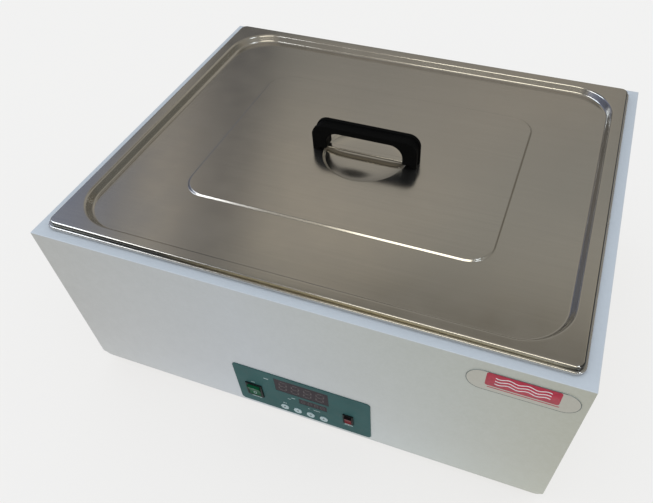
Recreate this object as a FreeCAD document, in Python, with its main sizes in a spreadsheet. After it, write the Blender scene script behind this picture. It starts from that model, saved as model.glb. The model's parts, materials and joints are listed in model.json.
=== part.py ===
import FreeCAD, Part
import math
import os
import re

import Sketcher
from FreeCAD import Placement, Rotation, Vector

# Laboratory water bath: a powder-coated sheet housing around a pressed GN 2/1 pan, with a lift-off lid,
# a front control panel and a drain tap at the rear.
# Frame: millimetres, +Z up, the front faces -Y, +X to the right seen from the front, and the origin is
# at the bottom centre of the whole assembly, on the surface that the rubber feet stand on.

DOC = FreeCAD.newDocument("WaterBath")
SHEET = DOC.addObject("Spreadsheet::Sheet", "dims")

# Driving dimensions, millimetres and degrees.
DIMENSIONS = {
    # housing
    "housing_width": 684, "housing_depth": 558, "housing_height": 268, "sheet_gauge": 1.5,
    "foot_height": 12, "bottom_bend": 12, "return_flange": 30, "rear_flange": 15, "edge_round": 1.2,
    "front_reach": 7.02, "drain_reach": 46,
    # pan
    "rim_width": 656, "rim_depth": 533, "rim_corner": 12, "rim_height": 4, "pan_gauge": 1.2,
    "pan_width": 622, "pan_length": 502, "pan_deep": 150, "pan_corner": 62, "pan_taper": 5,
    "pan_floor_bend": 20, "gasket_gauge": 1, "opening_gap": 4,
    # lid
    "lid_width": 650, "lid_depth": 526, "lid_corner": 10, "lid_skirt": 5.2, "lid_gauge": 1,
    "field_width": 616, "field_length": 496, "field_corner": 61, "field_drop": 10, "field_taper": 28,
    "plateau_width": 414, "plateau_length": 303, "plateau_corner": 33, "plateau_rise": 2,
    "plateau_taper": 50, "dish_radius": 60, "dish_deep": 5, "dish_wall": 6.5,
    # handle
    "handle_width": 150, "handle_depth": 22, "handle_height": 38.5, "grip_gauge": 9.5, "leg_gauge": 20,
    "handle_corner": 17, "finger_corner": 18, "handle_groove": 1.6, "strap_width": 9,
    "strap_gauge": 2.5,
    # control panel
    "panel_left": -95, "panel_right": 104, "panel_low": 24, "panel_high": 115, "panel_gauge": 1.2,
    "panel_corner": 5, "window_gap": 0.1, "key_radius": 6, "key_pitch": 19.9, "key_level": 36.2,
    "key_centre": 4.65, "key_proud": 1, "board_setback": 10, "board_gauge": 1.6,
    # switches
    "rocker_tilt": 9, "bezel_gauge": 2,
    # tank fittings
    "tube_radius": 4, "heater_level": 26, "tray_level": 38, "tray_gauge": 1.5,
    "drain_x": 160, "drain_back": 130, "drain_axis": 62,
    "shank_radius": 2, "fit_gap": 0.05, "handle_screw": 69.2,
    "inlet_x": -220, "inlet_z": 72,
}

# Lengths that follow from the driving dimensions, by name.
DERIVED = {
    "front_y": "(front_reach - (front_reach + housing_depth + drain_reach)/2)",
    "rear_y": "(front_y + housing_depth)",
    "mid_y": "(front_y + housing_depth/2)",
    "housing_top": "(foot_height + housing_height)",
    "rim_low": "(housing_top + gasket_gauge)",
    "rim_top": "(rim_low + rim_height)",
    "pan_floor": "(rim_top - pan_deep)",
    "pan_under": "(pan_floor - pan_gauge)",
    "lid_low": "(rim_top + 0.1)",
    "lid_top": "(lid_low + lid_skirt)",
    "field_top": "(lid_top - field_drop)",
    "plateau_top": "(field_top + plateau_rise)",
    "panel_face": "(front_y - panel_gauge)",
    "board_front": "(front_y + board_setback)",
    "board_back": "(board_front + board_gauge)",
    "drain_y": "(mid_y + drain_back)",
    "valve_y": "(rear_y + 14)",
    "heater_z": "(pan_floor + heater_level)",
    "tray_z": "(pan_floor + tray_level)",
}
WORD = re.compile(r"[a-z][a-z_]*")
NODES = {}


def fill_sheet():
    """Writes every driving dimension into its own cell, under its alias."""
    for row, (alias, value) in enumerate(DIMENSIONS.items(), start=1):
        SHEET.set(f"A{row}", alias)
        SHEET.set(f"B{row}", str(value))
        SHEET.setAlias(f"B{row}", alias)
    DOC.recompute()


def spell(formula):
    """Turns the names in a formula into sheet references, so that FreeCAD can evaluate it."""
    def word(match):
        name = match.group(0)
        if name in DERIVED:
            return spell(DERIVED[name])
        return f"dims.{name}" if name in DIMENSIONS else name
    return WORD.sub(word, str(formula))


def bind(thing, prop, formula):
    """Binds one property to a formula in sheet names."""
    thing.setExpression(prop, spell(formula))


def size(formula):
    """Works out a formula in sheet names as a number, through FreeCAD's own expressions."""
    if formula in DIMENSIONS:
        return float(SHEET.get(formula))
    gauge = DOC.getObject("gauge")
    if gauge is None:
        gauge = DOC.addObject("App::FeaturePython", "gauge")
        gauge.addProperty("App::PropertyFloat", "Reading")
    bind(gauge, "Reading", formula)
    gauge.recompute()
    return float(gauge.Reading)


def place(thing, at):
    """Binds an object's position to three formulas."""
    for letter, formula in zip("xyz", at):
        bind(thing, f".Placement.Base.{letter}", formula)
    return thing


def keep(name, thing):
    """Registers a finished sub-part under its node name."""
    thing.Label = name
    NODES[name] = thing
    return thing


# ---- primitives and booleans -------------------------------------------------------------------

TURNS = {
    "z": Rotation(),
    "x": Rotation(Vector(0, 1, 0), 90),
    "y": Rotation(Vector(1, 0, 0), -90),
}


def box(low, span):
    """A box from its low corner and its three sides, all as formulas."""
    made = DOC.addObject("Part::Box", "box")
    for prop, formula in zip(("Length", "Width", "Height"), span):
        bind(made, prop, formula)
    return place(made, low)


def rod(base, radius, length, along="z"):
    """A cylinder that starts at base and runs along +x, +y or +z."""
    made = DOC.addObject("Part::Cylinder", "rod")
    made.Placement = Placement(Vector(), TURNS[along])
    bind(made, "Radius", radius)
    bind(made, "Height", length)
    return place(made, base)


def cone(base, radius_low, radius_high, length, along="z"):
    """A cone that starts at base and runs along +x, +y or +z."""
    made = DOC.addObject("Part::Cone", "cone")
    made.Placement = Placement(Vector(), TURNS[along])
    bind(made, "Radius1", radius_low)
    bind(made, "Radius2", radius_high)
    bind(made, "Height", length)
    return place(made, base)


def hexagon(base, across_flats, length, along="z"):
    """A hexagonal prism that starts at base."""
    made = DOC.addObject("Part::Prism", "hexagon")
    made.Polygon = 6
    made.Placement = Placement(Vector(), TURNS[along])
    bind(made, "Circumradius", f"({across_flats})/sqrt(3)")
    bind(made, "Height", length)
    return place(made, base)


def ball(centre, radius):
    """A sphere about a centre."""
    made = DOC.addObject("Part::Sphere", "ball")
    bind(made, "Radius", radius)
    return place(made, centre)


def fuse(*things):
    """One solid out of several that touch or overlap."""
    made = DOC.addObject("Part::MultiFuse", "fuse")
    made.Shapes = list(things)
    made.Refine = True
    return made


def cut(base, *tools):
    """The base without its tools."""
    made = DOC.addObject("Part::Cut", "cut")
    made.Base = base
    made.Tool = tools[0] if len(tools) == 1 else group(*tools)
    return made


def common(first, second):
    """What two solids share."""
    made = DOC.addObject("Part::Common", "common")
    made.Base = first
    made.Tool = second
    return made


def group(*things):
    """Separate solids kept together."""
    made = DOC.addObject("Part::Compound", "group")
    made.Links = list(things)
    return made


def round_edges(thing, radius, wanted):
    """Rounds the edges of a solid that the test picks, with a constant radius from the sheet."""
    DOC.recompute()
    made = DOC.addObject("Part::Fillet", "round")
    made.Base = thing
    value = size(radius) if isinstance(radius, str) else radius
    made.Edges = [(i, value, value) for i, e in enumerate(thing.Shape.Edges, 1) if wanted(e)]
    return made


# ---- PartDesign helpers ------------------------------------------------------------------------

PLANES = {"xy": "XY_Plane", "xz": "XZ_Plane", "yz": "YZ_Plane"}


def new_body(name):
    """An empty PartDesign body that becomes a node."""
    return keep(name, DOC.addObject("PartDesign::Body", name))


def new_sketch(body, plane, level):
    """A sketch across one of the body's own planes, at a level along the third axis."""
    sketch = body.newObject("Sketcher::SketchObject", "sketch")
    origin = next(o for o in body.Origin.OriginFeatures if o.Role == PLANES[plane])
    sketch.AttachmentSupport = [(origin, "")]
    sketch.MapMode = "FlatFace"
    bind(sketch, ".AttachmentOffset.Base.z", f"-({level})" if plane == "xz" else level)
    return sketch


def pin_point(sketch, geometry, end, spot):
    """Ties one end of a sketch element to two coordinate formulas."""
    for kind, formula in zip(("DistanceX", "DistanceY"), spot):
        index = sketch.addConstraint(Sketcher.Constraint(kind, -1, 1, geometry, end, 1.0))
        bind(sketch, f"Constraints[{index}]", formula)


def polygon(sketch, corners):
    """A closed outline through corners given as pairs of formulas."""
    count = len(corners)
    start = sketch.GeometryCount
    ring = [Vector(50 * math.cos(2 * math.pi * i / count), 50 * math.sin(2 * math.pi * i / count), 0)
            for i in range(count)]
    for i in range(count):
        sketch.addGeometry(Part.LineSegment(ring[i], ring[(i + 1) % count]), False)
    for i in range(count):
        sketch.addConstraint(Sketcher.Constraint("Coincident", start + i, 2, start + (i + 1) % count, 1))
    for i, corner in enumerate(corners):
        pin_point(sketch, start + i, 1, corner)
    return sketch


def rectangle(sketch, left, right, low, high):
    """An outline between four limits."""
    return polygon(sketch, [(left, low), (right, low), (right, high), (left, high)])


def rounded(sketch, left, right, low, high, radius):
    """A rectangle between four limits with round corners, its arcs tied by centre and radius."""
    x_low, x_high, y_low, y_high, r = (size(f) for f in (left, right, low, high, radius))
    start = sketch.GeometryCount
    centres = [((right, "-"), (low, "+")), ((right, "-"), (high, "-")),
               ((left, "+"), (high, "-")), ((left, "+"), (low, "+"))]
    spots = [(x_high - r, y_low + r), (x_high - r, y_high - r), (x_low + r, y_high - r), (x_low + r, y_low + r)]
    for i, (x, y) in enumerate(spots):
        before, after = math.radians(90*i - 90), math.radians(90*i)
        next_x, next_y = spots[(i + 1) % 4]
        bow = Part.Circle(Vector(x, y, 0), Vector(0, 0, 1), r)
        sketch.addGeometry(Part.ArcOfCircle(bow, before, after), False)
        offset = Vector(r*math.cos(after), r*math.sin(after), 0)
        edge = Part.LineSegment(Vector(x, y, 0) + offset, Vector(next_x, next_y, 0) + offset)
        sketch.addGeometry(edge, False)
    for i in range(8):
        sketch.addConstraint(Sketcher.Constraint("Tangent", start + i, 2, start + (i + 1) % 8, 1))
    for i, ((side, sign_x), (level, sign_y)) in enumerate(centres):
        arc = start + 2*i
        pin_point(sketch, arc, 3, (f"{side} {sign_x} ({radius})", f"{level} {sign_y} ({radius})"))
        bound = sketch.addConstraint(Sketcher.Constraint("Radius", arc, r))
        bind(sketch, f"Constraints[{bound}]", radius)
    return sketch


def centred(sketch, half_x, half_y, radius):
    """A rounded rectangle about the bath's middle."""
    return rounded(sketch, f"-({half_x})", half_x, f"mid_y - ({half_y})", f"mid_y + ({half_y})", radius)


def circle(sketch, x, y, radius):
    """A circle about a point."""
    index = sketch.addGeometry(Part.Circle(Vector(1, 1, 0), Vector(0, 0, 1), 3), False)
    pin_point(sketch, index, 3, (x, y))
    bound = sketch.addConstraint(Sketcher.Constraint("Radius", index, 3.0))
    bind(sketch, f"Constraints[{bound}]", radius)
    return sketch


def grow(body, kind, sketch, length, reverse=False, taper=0):
    """Adds (Pad) or removes (Pocket) a straight run of a sketch."""
    made = body.newObject(f"PartDesign::{kind}", kind.lower())
    made.Profile = sketch
    made.Reversed = reverse
    bind(made, "Length", length)
    if taper:
        bind(made, "TaperAngle", taper)
    body.Tip = made
    DOC.recompute()
    return made


def revolve(body, kind, sketch, axis="V_Axis"):
    """Adds (Revolution) or removes (Groove) a full turn of a sketch about its own axis."""
    made = body.newObject(f"PartDesign::{kind}", kind.lower())
    made.Profile = sketch
    made.ReferenceAxis = (sketch, [axis])
    made.Angle = 360
    body.Tip = made
    DOC.recompute()
    return made


def soften(body, radius, wanted):
    """Rounds the edges of a body that the test picks."""
    base = body.Tip
    names = [f"Edge{i}" for i, edge in enumerate(base.Shape.Edges, 1) if wanted(edge)]
    made = body.newObject("PartDesign::Fillet", "fillet")
    made.Base = (base, names)
    bind(made, "Radius", radius)
    body.Tip = made
    DOC.recompute()
    return made


def span_of(edge):
    """The box of an edge, as its low and high corners."""
    bound = edge.BoundBox
    return (bound.XMin, bound.YMin, bound.ZMin), (bound.XMax, bound.YMax, bound.ZMax)


def runs_along(axis, share=0.95):
    """A test for straight edges that run mostly along one axis."""
    index = "xyz".index(axis)

    def test(edge):
        low, high = span_of(edge)
        return edge.Length > 0.5 and (high[index] - low[index]) > share * edge.Length
    return test


def at_level(axis, level, slack=0.02):
    """A test for edges that lie wholly in one plane across an axis."""
    index = "xyz".index(axis)

    def test(edge):
        low, high = span_of(edge)
        return abs(low[index] - level) < slack and abs(high[index] - level) < slack
    return test


def both(*tests):
    """A test that passes where every given test passes."""
    return lambda edge: all(test(edge) for test in tests)


def within(reach_x, reach_y):
    """A test for edges that stay inside a rectangle about the bath's middle."""
    middle = size("mid_y")

    def test(edge):
        low, high = span_of(edge)
        wide = max(abs(low[0]), abs(high[0]))
        deep = max(abs(low[1] - middle), abs(high[1] - middle))
        return wide < reach_x and deep < reach_y
    return test


# ---- housing -----------------------------------------------------------------------------------

REAR_SCREWS = [(f"{sign}(housing_width/2 - 9)", z) for sign in ("", "-")
               for z in ("foot_height + 40", "foot_height + housing_height/2", "housing_top - 40")]
REAR_SCREWS += [(x, z) for x in ("-200", "0", "200") for z in ("foot_height + 9", "housing_top - 9")]
BASE_SCREWS = [(f"{sign}320", f"mid_y + {y}") for sign in ("", "-") for y in ("-190", "0", "190")]
BASE_SCREWS += [(x, y) for x in ("-170", "170") for y in ("front_y + 18", "rear_y - 20")]
FEET = [(f"{sign_x}285", f"mid_y {sign_y} 215") for sign_x in ("", "-") for sign_y in ("+", "-")]


def outer_housing():
    """The folded wrap: front, sides, top with the pan's opening, and return flanges below and behind."""
    body = new_body("outer_housing")
    block = new_sketch(body, "xy", "foot_height")
    rectangle(block, "-housing_width/2", "housing_width/2", "front_y", "rear_y - sheet_gauge")
    grow(body, "Pad", block, "housing_height")
    front_corners = both(runs_along("z"), at_level("y", size("front_y")))
    top_rim = at_level("z", size("housing_top"))
    soften(body, "edge_round", lambda edge: front_corners(edge) or top_rim(edge))

    cavity = new_sketch(body, "xy", "foot_height + sheet_gauge")
    rectangle(cavity, "-housing_width/2 + sheet_gauge", "housing_width/2 - sheet_gauge",
              "front_y + sheet_gauge", "rear_y - 2*sheet_gauge")
    grow(body, "Pocket", cavity, "housing_height - 2*sheet_gauge", reverse=True)
    inner_floor = at_level("z", size("foot_height") + size("sheet_gauge"))
    wide = size("housing_width")/2 - 2*size("sheet_gauge")
    soften(body, "bottom_bend - sheet_gauge",
           both(runs_along("y"), inner_floor, lambda edge: abs(edge.BoundBox.XMin) > wide))
    soften(body, "bottom_bend", both(runs_along("y"), at_level("z", size("foot_height"))))

    behind = new_sketch(body, "xz", "rear_y")
    rectangle(behind, "-housing_width/2 + rear_flange", "housing_width/2 - rear_flange",
              "foot_height + rear_flange", "housing_top - rear_flange")
    grow(body, "Pocket", behind, "3*sheet_gauge", reverse=True)
    below = new_sketch(body, "xy", "foot_height - 1")
    rectangle(below, "-housing_width/2 + return_flange", "housing_width/2 - return_flange",
              "front_y + return_flange", "rear_y - return_flange")
    grow(body, "Pocket", below, "sheet_gauge + 2", reverse=True)
    pan_opening(body)

    control = new_sketch(body, "xz", "front_y - 1")
    rectangle(control, "panel_left + 8", "panel_right - 8", "panel_low + 4", "panel_high - 7")
    grow(body, "Pocket", control, "sheet_gauge + 2")
    screw_holes(body, "xz", "rear_y", REAR_SCREWS, reverse=True)
    screw_holes(body, "xy", "foot_height - 1", BASE_SCREWS, reverse=True)


def pan_opening(body):
    """Cuts the rounded opening that the pan hangs in."""
    opening = new_sketch(body, "xy", "housing_top + 1")
    centred(opening, "pan_width/2 + opening_gap", "pan_length/2 + opening_gap", "pan_corner + opening_gap")
    grow(body, "Pocket", opening, "sheet_gauge + 2")


def screw_holes(body, plane, level, spots, reverse=False, radius="shank_radius + fit_gap"):
    """Drills one clearance hole through the sheet at each spot."""
    holes = new_sketch(body, plane, level)
    for spot in spots:
        circle(holes, *spot, radius)
    grow(body, "Pocket", holes, "3*sheet_gauge", reverse)


def rear_panel():
    """The flat rear cover, with vent slots and openings for the power inlet and the drain pipe."""
    body = new_body("rear_panel")
    plate = new_sketch(body, "xz", "rear_y")
    rectangle(plate, "-housing_width/2 + 2", "housing_width/2 - 2", "foot_height + 2", "housing_top - 2")
    grow(body, "Pad", plate, "sheet_gauge")
    soften(body, "bottom_bend", runs_along("y"))
    openings = new_sketch(body, "xz", "rear_y + 1")
    rectangle(openings, "inlet_x - 25.2", "inlet_x + 25.2", "inlet_z - 14.2", "inlet_z + 14.2")
    circle(openings, "drain_x", "drain_axis", "11.4")
    for side in "+-":
        circle(openings, f"inlet_x {side} 29.5", "inlet_z", "1.55")
    for column in range(9):
        for row in range(2):
            left = f"-40 + {column*16}"
            rectangle(openings, left, f"{left} + 5", f"45 + {row*50}", f"80 + {row*50}")
    grow(body, "Pocket", openings, "sheet_gauge + 2", reverse=True)
    screw_holes(body, "xz", "rear_y + 1", REAR_SCREWS, reverse=True)


def base_plate():
    """The vented bottom plate under the housing's return flange."""
    body = new_body("base_plate")
    plate = new_sketch(body, "xy", "foot_height - sheet_gauge")
    rectangle(plate, "-328", "328", "front_y + 4", "rear_y - 6")
    grow(body, "Pad", plate, "sheet_gauge")
    soften(body, "8", runs_along("z"))
    slots = new_sketch(body, "xy", "foot_height - 2*sheet_gauge")
    for side in ("-190", "130"):
        for row in range(9):
            low = f"mid_y - 80 + {row*18}"
            rectangle(slots, side, f"{side} + 60", low, f"{low} + 5")
    grow(body, "Pocket", slots, "3*sheet_gauge", reverse=True)
    screw_holes(body, "xy", "foot_height - 2*sheet_gauge", BASE_SCREWS + FEET, reverse=True)


def pan_head(x, y, z, shank):
    """A pan-head screw driven upwards, whose head sits under the face at (x, y, z)."""
    head = rod((x, y, f"{z} - 2.2"), "3.8", "2.2")
    return fuse(head, rod((x, y, z), "shank_radius", shank))


def rear_screw(x, z):
    """A pan-head screw driven forward through the rear cover."""
    head = rod((x, "rear_y", z), "3.8", "2.2", "y")
    return fuse(head, rod((x, "rear_y - 7", z), "shank_radius", "7", "y"))


def foot(x, y):
    """A tapered rubber foot with a recess for its screw."""
    pad = cone((x, y, "0"), "15", "17", "foot_height - sheet_gauge")
    return cut(pad, rod((x, y, "-1"), "5", "6"), rod((x, y, "-1"), "shank_radius + fit_gap", "foot_height"))


def nut(x, y, z, across, thick, bore):
    """A hexagon nut, bored through."""
    return cut(hexagon((x, y, z), across, thick), rod((x, y, f"{z} - 1"), bore, f"{thick} + 2"))


def underside():
    """The feet and every screw that holds the covers and feet."""
    keep("rear_panel_screws", group(*[rear_screw(*spot) for spot in REAR_SCREWS]))
    low = "foot_height - sheet_gauge"
    keep("base_plate_screws", group(*[pan_head(x, y, low, "8") for x, y in BASE_SCREWS]))
    keep("rubber_feet", group(*[foot(*spot) for spot in FEET]))
    keep("foot_screws", group(*[pan_head(x, y, "5", "13") for x, y in FEET]))
    bore = "shank_radius + fit_gap"
    keep("foot_nuts", group(*[nut(x, y, "foot_height", "7", "3.2", bore) for x, y in FEET]))


# ---- pan and insulation ------------------------------------------------------------------------

# Holes in the pan's floor: the heater's two legs, the control sensor and the safety sensor.
PORTS = [("-25", "mid_y + 180"), ("25", "mid_y + 180"), ("0", "mid_y - 40"), ("0", "mid_y + 135")]


def tapered_form(body, kind, half_x, half_y, corner, start, deep, taper, down=True):
    """A tapered rounded block about the bath's middle, added or removed from a level downwards."""
    outline = new_sketch(body, "xy", start)
    centred(outline, half_x, half_y, corner)
    grow(body, kind, outline, deep, down == (kind == "Pad"), f"-({taper})")


def turned_rim(body, prefix, low, rise, gauge):
    """A flat rounded rim, hollow below, with its edge turned down all round."""
    half_x, half_y, corner = f"{prefix}_width/2", f"{prefix}_depth/2", f"{prefix}_corner"
    outline = new_sketch(body, "xy", low)
    centred(outline, half_x, half_y, corner)
    grow(body, "Pad", outline, rise)
    hollow = new_sketch(body, "xy", low)
    centred(hollow, f"{half_x} - {gauge}", f"{half_y} - {gauge}", f"{corner} - {gauge}")
    grow(body, "Pocket", hollow, f"{rise} - {gauge}", reverse=True)


def tank():
    """The pressed stainless pan: a flat rim turned down at its edge and a tapered, rounded well."""
    body = new_body("tank")
    turned_rim(body, "rim", "rim_low", "rim_height", "pan_gauge")
    soften(body, "1.8", at_level("z", size("rim_top")))
    under_rim = size("rim_top - pan_gauge")
    tapered_form(body, "Pad", "pan_width/2 + pan_gauge", "pan_length/2 + pan_gauge", "pan_corner + pan_gauge",
                 "rim_top", "pan_deep + pan_gauge", "pan_taper")
    soften(body, "2.8", both(at_level("z", under_rim), within(316, 256)))
    tapered_form(body, "Pocket", "pan_width/2", "pan_length/2", "pan_corner",
                 "rim_top", "pan_deep", "pan_taper")
    soften(body, "pan_floor_bend", at_level("z", size("pan_floor")))
    soften(body, "pan_floor_bend + pan_gauge", at_level("z", size("pan_under")))
    soften(body, "4", both(at_level("z", size("rim_top")), within(316, 256)))
    holes = new_sketch(body, "xy", "pan_floor + 1")
    for x, y in PORTS:
        circle(holes, x, y, "7")
    circle(holes, "drain_x", "drain_y", "13")
    grow(body, "Pocket", holes, "pan_gauge + 2")


def tank_gasket():
    """The flat seal between the pan's rim and the housing."""
    body = new_body("tank_gasket")
    ring = new_sketch(body, "xy", "housing_top")
    centred(ring, "rim_width/2 - 1", "rim_depth/2 - 1", "rim_corner - 1")
    centred(ring, "pan_width/2 + 5", "pan_length/2 + 5", "pan_corner + 5")
    grow(body, "Pad", ring, "gasket_gauge")


def insulation():
    """The mineral-wool jacket round and under the pan."""
    body = new_body("insulation")
    block = new_sketch(body, "xy", "pan_under - 14")
    rectangle(block, "-housing_width/2 + 6", "housing_width/2 - 6", "front_y + 6", "rear_y - 8")
    grow(body, "Pad", block, "housing_top - sheet_gauge - 1 - (pan_under - 14)")
    soften(body, "6", runs_along("z"))
    tapered_form(body, "Pocket", "pan_width/2 + 3", "pan_length/2 + 3", "pan_corner", "rim_top",
                 "pan_deep + pan_gauge + 0.5", "pan_taper")
    holes = new_sketch(body, "xy", "pan_floor")
    for x, y in PORTS:
        circle(holes, x, y, "18")
    circle(holes, "drain_x", "drain_y", "26")
    grow(body, "Pocket", holes, "40")


def tank_fittings():
    """The sealed bushes in the pan's floor, one for each heater leg and sensor, and their nuts."""
    bushes = []
    nuts = []
    for x, y in PORTS:
        collar = rod((x, y, "pan_floor"), "11", "5")
        sleeve = rod((x, y, "pan_under - 16"), "7 - fit_gap", "pan_gauge + 17")
        bushes.append(cut(fuse(collar, sleeve), rod((x, y, "pan_under - 20"), "tube_radius + fit_gap", "40")))
        nuts.append(nut(x, y, "pan_under - 9", "22", "9", "7"))
    keep("tank_fittings", group(*bushes))
    keep("fitting_nuts", group(*nuts))


# ---- routed tubes ------------------------------------------------------------------------------

def routed_wire(points, radius):
    """Straight runs through the points, joined by tangent arcs of one radius."""
    spots = [Vector(*point) for point in points]
    edges = []
    start = spots[0]
    for before, corner, after in zip(spots, spots[1:], spots[2:]):
        arrive = (corner - before).normalize()
        leave = (after - corner).normalize()
        turn = arrive.getAngle(leave)
        reach = radius*math.tan(turn/2)
        enter = corner - arrive*reach
        exit_spot = corner + leave*reach
        inward = (leave - arrive).normalize()
        middle = corner + inward*(radius/math.cos(turn/2) - radius)
        edges.append(Part.LineSegment(start, enter).toShape())
        edges.append(Part.Arc(enter, middle, exit_spot).toShape())
        start = exit_spot
    edges.append(Part.LineSegment(start, spots[-1]).toShape())
    return Part.Wire(edges)


def tube_solid(points, bend, radius, bore=0):
    """A round bar, or a tube with a bore, swept along a routed wire."""
    wire = routed_wire(points, bend)
    heading = wire.Edges[0].tangentAt(wire.Edges[0].FirstParameter)
    start = Vector(*points[0])

    def sweep(r):
        profile = Part.Wire([Part.makeCircle(r, start, heading)])
        return wire.makePipeShell([profile], True, True)
    solid = sweep(radius)
    expected = math.pi*radius**2*wire.Length
    if abs(solid.Volume - expected) > 0.01*expected:
        raise RuntimeError(f"a routed tube has volume {solid.Volume:.0f}, not {expected:.0f}")
    return solid.cut(sweep(bore)) if bore else solid


def routed(name, *solids):
    """A node whose solids follow three-dimensional routes, which no primitive describes."""
    made = DOC.addObject("Part::Feature", name)
    made.Shape = solids[0] if len(solids) == 1 else Part.makeCompound(list(solids))
    return keep(name, made)


def heater_element():
    """The sheathed heater: one serpentine loop over the floor of the pan and two legs through it."""
    middle = size("mid_y")
    level = size("heater_z")
    foot_level = size("pan_under") - 26
    half = [(-25, 180), (-240, 180), (-240, -160), (-80, -160), (-80, 90)]
    route = [(-25, middle + 180, foot_level)]
    route += [(x, middle + y, level) for x, y in half]
    route += [(-x, middle + y, level) for x, y in reversed(half)]
    route += [(25, middle + 180, foot_level)]
    routed("heater_element", tube_solid(route, 20, size("tube_radius")))


def sensors():
    """The control sensor and the over-temperature sensor, each a closed sheath through the floor."""
    for name, (x, y) in zip(("temperature_probe", "safety_probe"), PORTS[2:]):
        sheath = rod((x, y, "pan_under - 26"), "tube_radius", "56")
        tip = ball((x, y, "pan_under + 30"), "tube_radius")
        keep(name, fuse(sheath, tip))


def drain():
    """The floor outlet, the pipe to the rear and the lever-operated ball valve with its hose tail."""
    x, y = "drain_x", "drain_y"
    flange = rod((x, y, "pan_floor"), "20", "2.5")
    sleeve = rod((x, y, "pan_under - 22"), "13 - fit_gap", "pan_gauge + 23")
    keep("drain_fitting", cut(fuse(flange, sleeve), rod((x, y, "pan_under - 30"), "8", "60")))
    keep("drain_nut", nut(x, y, "pan_under - 10", "36", "10", "13"))
    drain_x, drain_y, low = size("drain_x"), size("drain_y"), size("drain_axis")
    route = [(drain_x, drain_y, size("pan_under") - 22), (drain_x, drain_y, low),
             (drain_x, size("rear_y") + 1, low)]
    routed("drain_pipe", tube_solid(route, 30, 11, 8))
    valve()


def valve():
    """A ball valve closed at rest, its lever across the pipe, and a barbed tail."""
    x, y, z = "drain_x", "valve_y", "drain_axis"
    shell = fuse(rod((x, "rear_y + 1", z), "15", "26", "y"), rod((x, y, z), "7", "21"))
    bores = [rod((x, "rear_y", z), "5.5", "30", "y"), ball((x, y, z), "9.3"),
             rod((x, y, z), "3 + fit_gap", "30")]
    keep("valve_body", cut(shell, *bores))
    core = cut(ball((x, y, z), "9"), rod(("drain_x - 12", y, z), "5.5", "24", "x"))
    keep("drain_ball", fuse(core, rod((x, y, f"{z} + 7"), "3", "22")))
    hub = fuse(rod((x, y, f"{z} + 21.3"), "8", "4"), box((x, f"{y} - 5", f"{z} + 21.3"), ("52", "10", "4")))
    handle = round_edges(hub, 4.5, both(runs_along("z"), lambda edge: edge.BoundBox.XMin > 200))
    keep("drain_lever", cut(handle, rod((x, y, f"{z} + 20"), "3", "8")))
    keep("lever_nut", nut(x, y, f"{z} + 25.3", "9", "3.5", "3"))
    tail = [cone((x, f"rear_y + {27 + 5*i}", z), "7.6", "6.4", "5", "y") for i in range(2)]
    collar = rod((x, "rear_y + 27", z), "6.2", "19", "y")
    keep("hose_tail", cut(fuse(collar, *tail), rod((x, "rear_y + 26", z), "4.5", "22", "y")))


def false_bottom():
    """The perforated tray that keeps racks and flasks above the heater."""
    body = new_body("false_bottom")
    plate = new_sketch(body, "xy", "tray_z")
    rectangle(plate, "-290", "290", "mid_y - 230", "mid_y + 230")
    grow(body, "Pad", plate, "tray_gauge")
    soften(body, "50", runs_along("z"))
    legs = new_sketch(body, "xy", "pan_floor + 0.1")
    for side in ("", "-"):
        for y in ("-120", "90"):
            near = f"{side}264"
            far = f"{side}264 {side or '+'} 1.5"
            rectangle(legs, near, far, f"mid_y + {y}", f"mid_y + {y} + 30")
    grow(body, "Pad", legs, "tray_level + 0.5")
    holes = new_sketch(body, "xy", "tray_z + 3")
    for column in range(13):
        for row in range(10):
            circle(holes, f"{(column - 6)*40}", f"mid_y + {row*40 - 180}", "6")
    grow(body, "Pocket", holes, "6")


# ---- lid and handle ----------------------------------------------------------------------------

def lid():
    """The pressed lid: turned-down edge, sunken field, raised plateau and a round finger dish."""
    body = new_body("lid")
    turned_rim(body, "lid", "lid_low", "lid_skirt", "lid_gauge")
    soften(body, "2.4", at_level("z", size("lid_top")))
    soften(body, "1.4", at_level("z", size("lid_top - lid_gauge")))
    lid_field(body)
    lid_plateau(body)
    lid_dish(body)


def lid_field(body):
    """Sinks the field below the rim with a sloped, rounded wall."""
    under_rim = size("lid_top - lid_gauge")
    tapered_form(body, "Pad", "field_width/2 + 1.3", "field_length/2 + 1.3", "field_corner + 1.3",
                 "lid_top", "field_drop + lid_gauge", "field_taper")
    soften(body, "5", at_level("z", size("field_top - lid_gauge")))
    soften(body, "4", both(at_level("z", under_rim), within(316, 256)))
    tapered_form(body, "Pocket", "field_width/2", "field_length/2", "field_corner",
                 "lid_top", "field_drop", "field_taper")
    soften(body, "4", at_level("z", size("field_top")))
    soften(body, "5", both(at_level("z", size("lid_top")), within(316, 256)))


def lid_plateau(body):
    """Raises the plateau in the middle of the field and hollows it from below."""
    half_x, half_y = "plateau_width/2", "plateau_length/2"
    tapered_form(body, "Pad", half_x, half_y, "plateau_corner", "field_top", "plateau_rise",
                 "plateau_taper", down=False)
    soften(body, "1.2", at_level("z", size("plateau_top")))
    tapered_form(body, "Pocket", f"{half_x} - 1", f"{half_y} - 1", "plateau_corner - 1",
                 "field_top - lid_gauge", "plateau_rise", "plateau_taper", down=False)


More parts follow.
